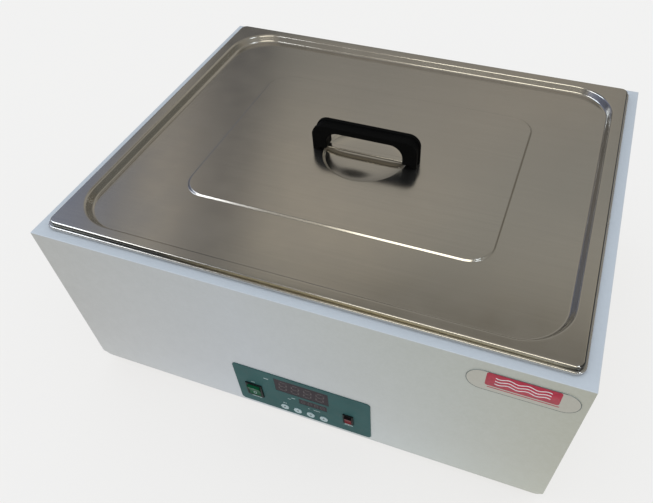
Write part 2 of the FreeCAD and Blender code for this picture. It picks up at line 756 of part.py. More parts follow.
def lid_dish(body):
    """Presses the round finger dish with its sloped wall into the plateau."""
    hole = new_sketch(body, "xy", "plateau_top + 1")
    circle(hole, "0", "mid_y", "dish_radius + 1.5")
    for side in ("", "-"):
        circle(hole, f"{side}handle_screw", "mid_y", "shank_radius + fit_gap")
    grow(body, "Pocket", hole, "lid_gauge + 3")
    bowl = new_sketch(body, "xz", "mid_y")
    top, edge, floor = "plateau_top", "dish_radius", "plateau_top - dish_deep"
    polygon(bowl, [("0", floor), (f"{edge} - dish_wall", floor), (edge, top), (f"{edge} + 2", top),
                   (f"{edge} + 2", f"{top} - lid_gauge"), (f"{edge} + 0.3", f"{top} - lid_gauge"),
                   (f"{edge} - dish_wall + 0.3", f"{floor} - lid_gauge"), ("0", f"{floor} - lid_gauge")])
    revolve(body, "Revolution", bowl)
    level = size("plateau_top")
    deep = size("dish_deep")
    inner = within(62, 62)
    soften(body, "3", both(at_level("z", level - deep), inner))
    soften(body, "4", both(at_level("z", level - deep - size("lid_gauge")), inner))
    soften(body, "1.5", both(at_level("z", level), inner))


def arch_slab(near, thick, inset):
    """One lamella of the bridge handle: an upright arch with rounded outer and inner corners."""
    low, high = "plateau_top", "plateau_top + handle_height"
    outer = box((f"-handle_width/2 + {inset}", near, low),
                (f"handle_width - 2*{inset}", thick, f"handle_height - {inset}"))
    top = size("plateau_top") + size("handle_height") - float(inset)
    outer = round_edges(outer, size("handle_corner") - float(inset), both(runs_along("y"), at_level("z", top)))
    inner = box(("-handle_width/2 + leg_gauge", f"{near} - 1", f"{low} - 20"),
                ("handle_width - 2*leg_gauge", f"{thick} + 2", f"20 + {high} - {low} - grip_gauge"))
    under = top + float(inset) - size("grip_gauge")
    inner = round_edges(inner, "finger_corner", both(runs_along("y"), at_level("z", under)))
    return cut(outer, inner)


def lid_handle():
    """The moulded bridge handle, with a shallow groove round its back and notched feet."""
    front = "mid_y - handle_depth/2"
    slabs = [arch_slab(front, "6", 0), arch_slab(f"{front} + 5", "handle_depth - 10", size("handle_groove")),
             arch_slab(f"{front} + handle_depth - 6", "6", 0)]
    arch = fuse(*slabs)
    notch_low = "plateau_top - 1"
    notch = box(("-65", f"{front} - 1", notch_low), ("130", "handle_depth + 2", "1 + strap_gauge + 0.2"))
    sides = ("-handle_screw", "handle_screw")
    pockets = [rod((x, "mid_y", notch_low), "3.2", "12") for x in sides]
    keep("lid_handle", cut(arch, notch, *pockets))
    keep("handle_inserts", group(*[cut(rod((x, "mid_y", "plateau_top"), "3.15", "10"),
                                       rod((x, "mid_y", "plateau_top - 1"), "shank_radius + fit_gap", "12"))
                                   for x in sides]))
    under = "plateau_top - lid_gauge"
    keep("handle_screws", group(*[pan_head(x, "mid_y", under, "9") for x in sides]))
    strap = box(("-64.5", "mid_y - strap_width/2", "plateau_top"), ("129", "strap_width", "strap_gauge"))
    crown = at_level("z", size("plateau_top + strap_gauge"))
    keep("handle_strap", round_edges(strap, 0.8, both(runs_along("x"), crown)))


# ---- control panel -----------------------------------------------------------------------------

WINDOWS = {"display": ("-34", "45", "77", "107"), "timer": ("-0.5", "41", "59", "72")}
KEYS = ("set_key", "shift_key", "down_key", "up_key")
KEY_SPOTS = [f"key_centre + {i - 1.5}*key_pitch" for i in range(len(KEYS))]
BOARD_CORNERS = [(x, z) for x in ("-44", "53") for z in ("32", "104")]

# Each rocker switch: centre x and z, bezel width and height, body width and height, rocker half-width,
# radius of the rocker's curved ends and depth of the body behind the panel.
SWITCHES = {
    "power": (-69, 59.5, 25, 30, 21.8, 26.8, 9, 12.2, 20),
    "heater": (72, 59, 15, 22, 12.8, 19.8, 4.9, 9.1, 15),
}


def control_panel():
    """The coloured front plate with openings for two windows, four keys and two switches."""
    body = new_body("control_panel")
    plate = new_sketch(body, "xz", "front_y")
    rectangle(plate, "panel_left", "panel_right", "panel_low", "panel_high")
    grow(body, "Pad", plate, "panel_gauge")
    soften(body, "panel_corner", runs_along("y"))
    openings = new_sketch(body, "xz", "panel_face - 1")
    for limits in WINDOWS.values():
        rectangle(openings, *limits)
    for x in KEY_SPOTS:
        circle(openings, x, "key_level", "key_radius + 0.3")
    for x, z, _, _, wide, high, _, _, _ in SWITCHES.values():
        rectangle(openings, f"{x - wide/2 - 0.1}", f"{x + wide/2 + 0.1}",
                  f"{z - high/2 - 0.1}", f"{z + high/2 + 0.1}")
    grow(body, "Pocket", openings, "panel_gauge + 2")


def displays():
    """The tinted windows and the light-emitting display modules behind them."""
    for name, (left, right, low, high) in WINDOWS.items():
        wide = f"{right} - ({left})"
        tall = f"{high} - ({low})"
        lens = box((f"{left} + window_gap", "panel_face + 0.2", f"{low} + window_gap"),
                   (f"{wide} - 2*window_gap", "panel_gauge - 0.2", f"{tall} - 2*window_gap"))
        keep(f"{name}_window", lens)
        module = box((f"{left} + 2", "front_y + 0.6", f"{low} + 1.5"),
                     (f"{wide} - 4", "board_setback - 0.6", f"{tall} - 3"))
        keep(f"{name}_module", module)


def keys():
    """Four round keys: a cap through the panel, a retaining flange behind it and a plunger."""
    for name, x in zip(KEYS, KEY_SPOTS):
        cap = rod((x, "panel_face - key_proud", "key_level"),
                  "key_radius", "key_proud + panel_gauge + 0.5", "y")
        cap = round_edges(cap, 0.5, at_level("y", size("panel_face") - size("key_proud")))
        flange = rod((x, "front_y + 0.1", "key_level"), "key_radius + 1.2", "1", "y")
        plunger = rod((x, "front_y + 0.5", "key_level"), "2", "3.9", "y")
        keep(name, fuse(cap, flange, plunger))


def controller():
    """The controller board with its contacts, transformer, standoffs and screws."""
    board = box(("-50", "board_front", "27"), ("109", "board_gauge", "84"))
    holes = [rod((x, "board_front - 1", z), "1.6", "4", "y") for x, z in BOARD_CORNERS]
    keep("controller_board", cut(board, *holes))
    posts = [cut(rod((x, "front_y + 0.1", z), "3", "board_setback - 0.1", "y"),
                 rod((x, "board_front - 6", z), "1.5", "7", "y")) for x, z in BOARD_CORNERS]
    keep("board_standoffs", group(*posts))
    screws = [fuse(rod((x, "board_back", z), "2.8", "2", "y"),
                   rod((x, "board_front - 5", z), "1.45", "board_gauge + 5.1", "y")) for x, z in BOARD_CORNERS]
    keep("board_screws", group(*screws))
    contacts = [fuse(box((f"{x} - 3", "board_front - 3.5", "key_level - 3"), ("6", "3.5", "6")),
                     rod((x, "board_front - 4.4", "key_level"), "1.7", "1", "y")) for x in KEY_SPOTS]
    keep("tact_switches", group(*contacts))
    core = box(("-36", "board_back", "70"), ("34", "24", "28"))
    keep("transformer", round_edges(core, 1.5, runs_along("y")))


def rocker_switch(name, spec):
    """A rocker switch: bezel and body in the panel, spade terminals, and the tilted rocker."""
    x, z, wide, high, body_wide, body_high, half, reach, deep = spec
    bezel = box((f"{x - wide/2}", "panel_face - bezel_gauge", f"{z - high/2}"),
                (f"{wide}", "bezel_gauge", f"{high}"))
    bezel = round_edges(bezel, 0.7, at_level("y", size("panel_face - bezel_gauge")))
    case = box((f"{x - body_wide/2}", "panel_face - 0.1", f"{z - body_high/2}"),
               (f"{body_wide}", f"panel_gauge + 0.1 + {deep}", f"{body_high}"))
    well = box((f"{x - half - 0.3}", "panel_face - bezel_gauge - 1", f"{z - reach - 0.3}"),
               (f"{2*half + 0.6}", "13", f"{2*reach + 0.6}"))
    axle_hole = rod((f"{x - half - 1.2}", "panel_face", f"{z}"), "1.3", f"{2*half + 2.4}", "x")
    keep(f"{name}_switch_body", cut(fuse(bezel, case), well, axle_hole))

    wedge = DOC.addObject("PartDesign::Body", f"{name}_wedge")
    side = new_sketch(wedge, "yz", f"-{half}")
    polygon(side, [("-bezel_gauge - 2.2", f"{-reach - 1}"), ("-bezel_gauge - 0.4", "0"),
                   ("-bezel_gauge - 2.2", f"{reach + 1}"), ("6", f"{reach + 1}"), ("6", f"{-reach - 1}")])
    grow(wedge, "Pad", side, f"{2*half}")
    barrel = rod((f"-{half}", "0", "0"), f"{reach}", f"{2*half}", "x")
    axle = rod((f"-{half + 1}", "0", "0"), "1.25", f"{2*half + 2}", "x")
    rocker = fuse(common(barrel, wedge), axle)
    rocker.Placement = Placement(Vector(), Rotation(Vector(1, 0, 0), 1))
    bind(rocker, ".Placement.Rotation.Angle", "rocker_tilt")
    keep(f"{name}_rocker", place(rocker, (f"{x}", "panel_face", f"{z}")))


def switches():
    """Both rocker switches and the spade terminals behind them."""
    blades = []
    for name, spec in SWITCHES.items():
        rocker_switch(name, spec)
        x, z, body_high, deep = spec[0], spec[1], spec[5], spec[8]
        for offset in (-body_high/4, body_high/4):
            blades.append(box((f"{x - 3.15}", f"front_y + {deep}", f"{z + offset - 0.4}"), ("6.3", "8", "0.8")))
    keep("switch_terminals", group(*blades))


def badge_plate():
    """A blank stadium-shaped nameplate on the housing's front."""
    body = new_body("badge_plate")
    plate = new_sketch(body, "xz", "front_y")
    rectangle(plate, "214", "334", "housing_top - 50", "housing_top - 15")
    grow(body, "Pad", plate, "0.8")
    soften(body, "17.4", runs_along("y"))


# ---- electrical parts in the base --------------------------------------------------------------

def base_electrics():
    """The relay on its finned heat sink, the terminal strip, the thermostat and the earth stud."""
    fins = [box((f"{-262 + 8*i}", "mid_y - 90", "foot_height + 4.5"), ("2", "90", "26")) for i in range(9)]
    plate = box(("-266", "mid_y - 90", "foot_height"), ("76", "90", "5"))
    post = box(("-198", "mid_y - 90", "foot_height + 4.5"), ("8", "90", "34"))
    keep("relay_heatsink", fuse(plate, post, *fins))
    relay = box(("-190", "mid_y - 75", "foot_height + 0.5"), ("23", "58", "45"))
    keep("solid_state_relay", round_edges(relay, 2, runs_along("x")))
    strip = box(("-60", "mid_y - 20", "foot_height"), ("110", "20", "10"))
    cells = [box((f"{-59 + 11*i}", "mid_y - 17", "foot_height + 9"), ("9", "14", "9")) for i in range(10)]
    wells = [rod((f"{-54.5 + 11*i}", "mid_y - 10", "foot_height + 12"), "2.5", "8") for i in range(10)]
    keep("terminal_block", cut(fuse(strip, *cells), *wells))
    case = box(("20", "mid_y + 70", "foot_height"), ("45", "34", "48"))
    boss = rod(("42", "mid_y + 87", "foot_height + 47"), "8", "8")
    keep("safety_thermostat", fuse(round_edges(case, 2, runs_along("z")), boss))
    spot = ("-300", "rear_y - 60")
    stud = fuse(rod((*spot, "foot_height"), "2.5", "22"), rod((*spot, "foot_height"), "6", "3"))
    keep("earth_stud", stud)


def power_inlet():
    """The mains inlet at the rear, with its three pins, its fuse drawer and two screws."""
    left, low = "inlet_x - 34", "inlet_z - 17"
    flange = round_edges(box((left, "rear_y", low), ("68", "3", "34")), 6, runs_along("y"))
    case = box(("inlet_x - 25", "rear_y - 24", "inlet_z - 14"), ("50", "25", "28"))
    socket = box(("inlet_x - 22", "rear_y - 16", "inlet_z - 8.4"), ("25", "20", "16.8"))
    drawer_well = box(("inlet_x + 8", "rear_y - 20", "inlet_z - 9"), ("12", "30", "18"))
    holes = [rod((f"inlet_x {side} 29.5", "rear_y - 5", "inlet_z"), "1.55", "10", "y") for side in "+-"]
    keep("power_inlet", cut(fuse(flange, case), socket, drawer_well, *holes))
    pins = [box((f"inlet_x - 9.5 + {dx} - 1", "rear_y - 16", f"inlet_z + {dz} - 2"), ("2", "13", "4"))
            for dx, dz in ((-7, -2), (0, 2), (7, -2))]
    keep("inlet_pins", group(*pins))
    body = box(("inlet_x + 8.2", "rear_y - 19.8", "inlet_z - 8.8"), ("11.6", "22.8", "17.6"))
    lip = box(("inlet_x + 6.5", "rear_y + 3.1", "inlet_z - 10.5"), ("15", "2", "21"))
    neck = box(("inlet_x + 8.2", "rear_y + 2", "inlet_z - 8.8"), ("11.6", "2", "17.6"))
    hollow = box(("inlet_x + 10.5", "rear_y - 17", "inlet_z - 6"), ("7", "14", "20"))
    lip = round_edges(lip, 0.8, at_level("y", size("rear_y") + 5.1))
    keep("fuse_drawer", cut(fuse(body, neck, lip), hollow))
    screws = [fuse(rod((f"inlet_x {side} 29.5", "rear_y + 3", "inlet_z"), "2.8", "2", "y"),
                   rod((f"inlet_x {side} 29.5", "rear_y - 6", "inlet_z"), "1.45", "9.1", "y")) for side in "+-"]
    keep("inlet_screws", group(*screws))


def wiring():
    """The bundled leads held inside the housing."""
    front, middle, rear = size("front_y"), size("mid_y"), size("rear_y")
    mains = [(-220, rear - 24.5, 72), (-220, rear - 90, 72), (-140, middle + 40, 50),
             (-110, front + 130, 40), (-69, front + 80, 59), (-69, front + 29, 59)]
    under = size("pan_under") - 26.5
    lead = [(25, middle + 180, under), (25, middle + 180, 60), (0, middle + 120, 38),
            (-10, middle + 50, 38), (-10, middle - 9, 38)]
    routed("wiring_loom", tube_solid(mains, 25, 3.5), tube_solid(lead, 15, 2.5))


def report_shapes():
    """Stops on any failed object or bad sub-part shape."""
    DOC.recompute()
    failed = [thing.Name for thing in DOC.Objects if {"Invalid", "Error"} & set(thing.State)]
    if failed:
        raise RuntimeError(f"failed objects: {failed}")
    for name, thing in NODES.items():
        shape = thing.Shape
        if shape.isNull() or not shape.isValid() or shape.Volume <= 0:
            raise RuntimeError(f"{name} has no valid solid")
        print(f"{name:22s} {len(shape.Solids):3d} solids {shape.Volume/1000:10.2f} cm3")


def export_parts():
    """Writes one STEP file for each sub-part."""
    os.makedirs("parts", exist_ok=True)
    for name, thing in NODES.items():
        thing.Shape.exportStep(f"parts/{name}.step")


BUILDERS = (outer_housing, rear_panel, base_plate, underside, tank, tank_gasket, insulation, tank_fittings,
            heater_element, sensors, drain, false_bottom, lid, lid_handle, control_panel, displays, keys,
            controller, switches, badge_plate, base_electrics, power_inlet, wiring)

fill_sheet()
for builder in BUILDERS:
    builder()
report_shapes()
export_parts()
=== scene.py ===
import json
import math

import bmesh
import bpy
from mathutils import Matrix, Vector


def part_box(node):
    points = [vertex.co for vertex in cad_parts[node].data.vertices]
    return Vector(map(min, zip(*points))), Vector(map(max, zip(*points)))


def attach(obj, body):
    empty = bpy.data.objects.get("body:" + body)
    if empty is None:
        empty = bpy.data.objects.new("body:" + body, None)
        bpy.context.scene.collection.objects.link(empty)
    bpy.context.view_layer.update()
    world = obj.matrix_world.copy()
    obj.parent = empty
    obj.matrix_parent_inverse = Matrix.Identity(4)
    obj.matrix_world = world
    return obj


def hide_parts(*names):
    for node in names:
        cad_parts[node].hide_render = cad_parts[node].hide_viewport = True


# Laboratory water bath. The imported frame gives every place. X runs along the front, Y to the rear and Z up.
# Sizes that only the looks need are named in millimetres, and MM turns them into metres.
MM = 0.001
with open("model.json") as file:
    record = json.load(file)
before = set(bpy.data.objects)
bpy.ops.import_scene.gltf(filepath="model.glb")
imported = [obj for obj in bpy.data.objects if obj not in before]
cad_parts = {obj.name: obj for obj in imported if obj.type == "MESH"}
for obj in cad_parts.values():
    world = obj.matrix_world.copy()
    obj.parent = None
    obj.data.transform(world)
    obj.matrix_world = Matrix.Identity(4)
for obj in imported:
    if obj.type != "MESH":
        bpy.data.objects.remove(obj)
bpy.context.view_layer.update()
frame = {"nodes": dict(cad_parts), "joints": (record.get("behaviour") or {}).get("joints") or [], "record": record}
NODES = frame["nodes"]
RECORD = frame["record"]
SLOT_OF = {row["node"]: row["material_slot"] for row in RECORD["subparts"]}
BODY_OF = {node: body for body, nodes in RECORD["behaviour"]["bodies"].items() for node in nodes}


def centre_of(node):
    """The middle of a node's box."""
    low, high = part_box(node)
    return (low + high) / 2


LID_MIDDLE = centre_of("lid")
MIDDLE_Y = LID_MIDDLE.y
LID_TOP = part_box("lid")[1].z
PANEL_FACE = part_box("control_panel")[0].y
HOUSING_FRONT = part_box("outer_housing")[0].y
HOUSING_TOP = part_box("outer_housing")[1].z
DISH_RADIUS = 60


# ---- materials ---------------------------------------------------------------------------------

# Noise seldom leaves this range, so patterns are spread over it.
NOISE_LOW, NOISE_HIGH = 0.3, 0.7
# A normal's Z below the first value counts as an upright face, and above the second as a level one.
UPRIGHT, LEVEL = 0.25, 0.75
# The places of the factor, the two colours and the result on a colour mix node.
MIX_FACTOR, MIX_FIRST, MIX_SECOND, MIX_RESULT = 0, 6, 7, 2
FROM_TO = ("From Min", "From Max", "To Min", "To Max")


def colour_ramp(tree, source, stops):
    """Colours along a value in a node tree, as (position, (r, g, b)) stops."""
    node = tree.nodes.new("ShaderNodeValToRGB")
    band = node.color_ramp
    while len(band.elements) < len(stops):
        band.elements.new(0.5)
    for element, (position, colour) in zip(band.elements, stops):
        element.position = position
        element.color = (*colour, 1)
    tree.links.new(source, node.inputs["Fac"])
    return node.outputs["Color"]


class Finish:
    """A Principled material with helpers for patterned colour, roughness and relief."""

    def __init__(self, name, roughness, metallic=0.0, **fixed):
        self.material = bpy.data.materials.new(name)
        self.material.use_nodes = True
        self.tree = self.material.node_tree
        self.shader = self.tree.nodes["Principled BSDF"]
        self.shader.inputs["Roughness"].default_value = roughness
        self.shader.inputs["Metallic"].default_value = metallic
        for socket, value in fixed.items():
            self.shader.inputs[socket.replace("_", " ")].default_value = value
        self.texture = self.add("ShaderNodeTexCoord")
        self.place = self.texture.outputs["Object"]

    def add(self, kind, **settings):
        """A new node with its properties set."""
        node = self.tree.nodes.new(kind)
        for key, value in settings.items():
            setattr(node, key, value)
        return node

    def link(self, source, target):
        """A wire from one socket to another."""
        self.tree.links.new(source, target)

    def noise(self, scale, detail=2.0, stretch=(1, 1, 1), rough=0.5):
        """Noise of a scale per metre, stretched along the axes."""
        mapping = self.add("ShaderNodeMapping")
        mapping.inputs["Scale"].default_value = stretch
        self.link(self.place, mapping.inputs["Vector"])
        node = self.add("ShaderNodeTexNoise")
        node.inputs["Scale"].default_value = scale
        node.inputs["Detail"].default_value = detail
        node.inputs["Roughness"].default_value = rough
        self.link(mapping.outputs["Vector"], node.inputs["Vector"])
        return node.outputs["Fac"]

    def ramp(self, source, stops):
        """Colours along a value, as (position, (r, g, b)) stops."""
        return colour_ramp(self.tree, source, stops)

    def mottled(self, colour, scale, detail, darker, lighter):
        """A colour that wanders between a darker and a lighter shade of itself."""
        shades = [(NOISE_LOW, shade(colour, darker)), (NOISE_HIGH, shade(colour, lighter))]
        return self.ramp(self.noise(scale, detail), shades)

    def span(self, source, low, high, start=NOISE_LOW, end=NOISE_HIGH):
        """A value mapped from start..end into low..high."""
        node = self.add("ShaderNodeMapRange")
        for socket, value in zip(FROM_TO, (start, end, low, high)):
            node.inputs[socket].default_value = value
        self.link(source, node.inputs["Value"])
        return node.outputs["Result"]

    def axis(self, letter):
        """One coordinate of the surface, in metres."""
        node = self.add("ShaderNodeSeparateXYZ")
        self.link(self.place, node.inputs["Vector"])
        return node.outputs[letter.upper()]

    def upward(self):
        """How far the surface faces up: 0 for upright faces, 1 for level ones."""
        split = self.add("ShaderNodeSeparateXYZ")
        self.link(self.texture.outputs["Normal"], split.inputs["Vector"])
        return self.span(split.outputs["Z"], 0, 1, UPRIGHT, LEVEL)

    def distance(self, point):
        """How far the surface is from an upright line through a point, in metres."""
        mapping = self.add("ShaderNodeMapping", vector_type="POINT")
        mapping.inputs["Location"].default_value = (-point[0], -point[1], 0)
        mapping.inputs["Scale"].default_value = (1, 1, 0)
        self.link(self.place, mapping.inputs["Vector"])
        length = self.add("ShaderNodeVectorMath", operation="LENGTH")
        self.link(mapping.outputs["Vector"], length.inputs[0])
        return length.outputs["Value"]

    def mix(self, factor, first, second, blend="MIX"):
        """Mixes two colours, each a socket or a plain colour."""
        node = self.add("ShaderNodeMix", data_type="RGBA", blend_type=blend)
        for place, value in ((MIX_FACTOR, factor), (MIX_FIRST, first), (MIX_SECOND, second)):
            if isinstance(value, bpy.types.NodeSocket):
                self.link(value, node.inputs[place])
            else:
                node.inputs[place].default_value = value if place == MIX_FACTOR else (*value, 1)
        return node.outputs[MIX_RESULT]

    def colour(self, source):
        """Drives the base colour."""
        self.link(source, self.shader.inputs["Base Color"])
        return self

    def rough(self, source):
        """Drives the roughness."""
        self.link(source, self.shader.inputs["Roughness"])
        return self

    def relief(self, source, depth, strength=1.0):
        """Bump of a depth in metres, added on top of any relief that is there."""
        bump = self.add("ShaderNodeBump")
        bump.inputs["Strength"].default_value = strength
        bump.inputs["Distance"].default_value = depth
        normal = self.shader.inputs["Normal"]
        if normal.links:
            self.link(normal.links[0].from_socket, bump.inputs["Normal"])
        self.link(source, bump.inputs["Height"])
        self.link(bump.outputs["Normal"], normal)
        return self


def shade(colour, factor):
    """A colour made lighter or darker."""
    return tuple(min(1.0, channel*factor) for channel in colour)


def painted(name, colour, upright):
    """Powder coat: a fine orange peel, faint dust and a slight random drift of tone; upright faces carry painted
    light and shade along X and a painted floor bounce that fades upwards.
    """
    half_width = 0.34
    drift_tones = [(0.35, (0.965, 0.965, 0.965)), (0.65, (1, 1, 1))]
    dust_share, dust_shade = 0.05, 1.5
    made = Finish(name, roughness=0.42, Coat_Weight=0.15, Coat_Roughness=0.3)
    # Upright faces get painted light and shade along X and a painted floor bounce that fades upwards; level faces
    # get the level colour.
    light_across = made.ramp(made.span(made.axis("x"), 0, 1, -half_width, half_width), upright)
    bounce = made.ramp(made.span(made.axis("z"), 0, 1, 0, HOUSING_TOP), FLOOR_BOUNCE)
    tone = made.mix(made.upward(), made.mix(1.0, light_across, bounce, "MULTIPLY"), colour)
    drift = made.ramp(made.noise(scale=3, detail=3), drift_tones)
    tone = made.mix(1.0, tone, drift, "MULTIPLY")
    dust = made.span(made.noise(scale=240), 0, dust_share)
    made.colour(made.mix(dust, tone, shade(colour, dust_shade)))
    made.rough(made.span(made.noise(scale=60, detail=3), low=0.36, high=0.5))
    made.relief(made.noise(scale=520), depth=0.04*MM, strength=0.5)
    return made.material


def steel(name, colour, roughness, grain=(4, 900, 900), streak=0.05, wave=0.0, polished=None):
    """Satin stainless steel with a fine directional grain and, on large panels, a slight waviness.

    polished is an optional (point, radius, roughness): a smoother spot about an upright line.
    """
    smear_share, smear_shade = 0.35, 0.9
    smoothest, roughest = roughness*0.86, roughness*1.16
    spot_edge = 0.97
    made = Finish(name, roughness, metallic=1.0)
    lines = made.noise(scale=1, detail=3, stretch=grain, rough=0.6)
    smear = made.noise(scale=9, detail=4)
    tone = made.mix(made.span(lines, 0, 1), shade(colour, 1 - streak), shade(colour, 1 + streak))
    made.colour(made.mix(made.span(smear, 0, smear_share), tone, shade(colour, smear_shade)))
    uneven = made.span(made.noise(scale=25, detail=4), smoothest, roughest)
    if polished:
        point, radius, smooth = polished
        inside = made.span(made.distance(point), 1, 0, radius*spot_edge, radius)
        uneven = made.mix(inside, uneven, (smooth, smooth, smooth))
    made.rough(uneven)
    made.relief(made.noise(scale=400, detail=3), depth=0.004*MM, strength=0.3)
    if wave:
        made.relief(made.noise(scale=5, detail=1), depth=wave)
    return made.material


def painted_edge_shade(name):
    """Painted shade and reflection on the lid's turned-down edge: grey at its left end, then black, then brown,
    and dark at its right end.
    """
    half_length = 0.33
    made = Finish(name, roughness=0.35, metallic=1.0)
    made.colour(made.ramp(made.span(made.axis("x"), 0, 1, -half_length, half_length), EDGE_SHADE_TONES))
    made.relief(made.noise(scale=400, detail=3), depth=0.01*MM, strength=0.3)
    return made.material


def machined(name, colour, roughness, metallic=1.0):
    """A turned, cast or plated metal with light handling marks."""
    smoothest, roughest = roughness*0.75, roughness*1.35
    made = Finish(name, roughness, metallic)
    made.colour(made.mottled(colour, scale=90, detail=4, darker=0.86, lighter=1.06))
    made.rough(made.span(made.noise(scale=140, detail=3), smoothest, roughest))
    made.relief(made.noise(scale=700), depth=0.02*MM, strength=0.4)
    return made.material


def plastic(name, colour, roughness, grain=1400, depth=0.02*MM, **fixed):
    """Moulded plastic with a fine spark-eroded grain and slightly uneven gloss."""
    smoothest, roughest = roughness*0.85, roughness*1.2
    made = Finish(name, roughness, **fixed)
    made.colour(made.mottled(colour, scale=35, detail=3, darker=0.9, lighter=1.1))
    made.rough(made.span(made.noise(scale=70, detail=3), smoothest, roughest))
    made.relief(made.noise(grain), depth, strength=0.5)
    return made.material


def shaded_above(name, lower, upper, level):
    """Glossy plastic whose colour gives way to a painted shade above a height, both colours as (r, g, b)."""
    blur = 0.8*MM
    made = Finish(name, roughness=0.35, IOR=1.15)
    # Above the level the colour gives way to a painted shade.
    split = made.span(made.axis("z"), 0, 1, level - blur, level + blur)
    made.colour(made.mix(split, made.mottled(lower, scale=35, detail=3, darker=0.9, lighter=1.1), upper))
    made.rough(made.span(made.noise(scale=70, detail=3), low=0.26, high=0.36))
    made.relief(made.noise(scale=300), depth=0.01*MM, strength=0.5)
    return made.material


def rubber(name, colour):
    """Moulded rubber with dust in its pores."""
    dust_share, dust_shade = 0.3, 3.0
    made = Finish(name, roughness=0.75)
    dust = made.span(made.noise(scale=400, detail=3), 0, dust_share)
    made.colour(made.mix(dust, colour, shade(colour, dust_shade)))
    made.rough(made.span(made.noise(scale=160, detail=3), low=0.66, high=0.88))
    made.relief(made.noise(scale=900, detail=3), depth=0.06*MM, strength=0.6)
    return made.material


def wool(name, colour):
    """Compressed mineral wool: tangled fibres across two directions."""
    shades = [(NOISE_LOW, shade(colour, 0.55)), (NOISE_HIGH, shade(colour, 1.2))]
    made = Finish(name, roughness=0.95, Sheen_Weight=0.3)
    fibre = made.noise(scale=60, detail=6, stretch=(1, 9, 3), rough=0.7)
    made.colour(made.ramp(fibre, shades))
    made.relief(fibre, depth=1.2*MM)
    made.relief(made.noise(scale=180, detail=4, stretch=(7, 1, 2)), depth=0.6*MM)
    return made.material


def board(name, colour):
    """A circuit board: solder mask over a maze of copper tracks."""
    cells, track_low, track_high = 260, 0.05, 0.12
    made = Finish(name, roughness=0.35)
    tracks = made.add("ShaderNodeTexVoronoi", feature="DISTANCE_TO_EDGE", distance="MANHATTAN")
    tracks.inputs["Scale"].default_value = cells
    made.link(made.place, tracks.inputs["Vector"])
    line = made.span(tracks.outputs["Distance"], 1, 0, track_low, track_high)
    made.colour(made.mix(line, shade(colour, 0.8), shade(colour, 2.2)))
    made.relief(line, depth=0.04*MM)
    return made.material


def printed(name, colour, roughness=0.5):
    """Screen-print ink: matt, with slightly uneven cover."""
    made = Finish(name, roughness)
    made.colour(made.mottled(colour, scale=300, detail=3, darker=0.86, lighter=1.08))
    made.relief(made.noise(scale=1500), depth=0.01*MM, strength=0.4)
    return made.material


# Painted light and shade along X for upright painted faces, from the left end to the right.
CABINET_LIGHT_TONES = [(0.0, (0.47, 0.47, 0.455)), (0.4, (0.525, 0.547, 0.57)),
                 (0.78, (0.482, 0.50, 0.467)), (1.0, (0.45, 0.45, 0.375))]
# Painted light and shade along X for the nameplate's face, warmer and darker towards the right.
BADGE_LIGHT_TONES = [(0.5, (0.48, 0.47, 0.43)), (1.0, (0.46, 0.44, 0.38))]
# How the paint's tone falls from the floor up, where the pale floor lights it less.
FLOOR_BOUNCE = [(0.1, (1, 1, 1)), (0.35, (0.90, 0.89, 0.88)),
                (0.6, (0.85, 0.84, 0.82)), (1.0, (0.81, 0.80, 0.77))]
# Painted shade and reflection along X for the lid's turned-down edge.
EDGE_SHADE_TONES = [(0.0, (0.10, 0.105, 0.09)), (0.14, (0.010, 0.011, 0.008)), (0.25, (0.022, 0.021, 0.015)),
              (0.42, (0.38, 0.32, 0.195)), (0.65, (0.42, 0.355, 0.215)),
              (0.95, (0.40, 0.38, 0.31)), (0.985, (0.07, 0.07, 0.065))]
# Colours of level painted faces; the cabinet's is lighter and bluer than its upright faces, partly the paint's own
# colour and partly painted sky light from above.
SKYLIT_LEVEL_PAINT, LEVEL_BADGE = (0.50, 0.525, 0.55), (0.46, 0.465, 0.42)
# The red rocker's own colour, the painted shade over its upper half, and the height where they meet.
ROCKER_RED, ROCKER_SHADE, ROCKER_SPLIT = (0.13, 0.006, 0.010), (0.008, 0.004, 0.005), 61.5*MM
LID_GRAIN, LID_STREAK, LID_WAVE, DISH_GLOSS = (5, 700, 700), 0.03, 0.6*MM, 0.12

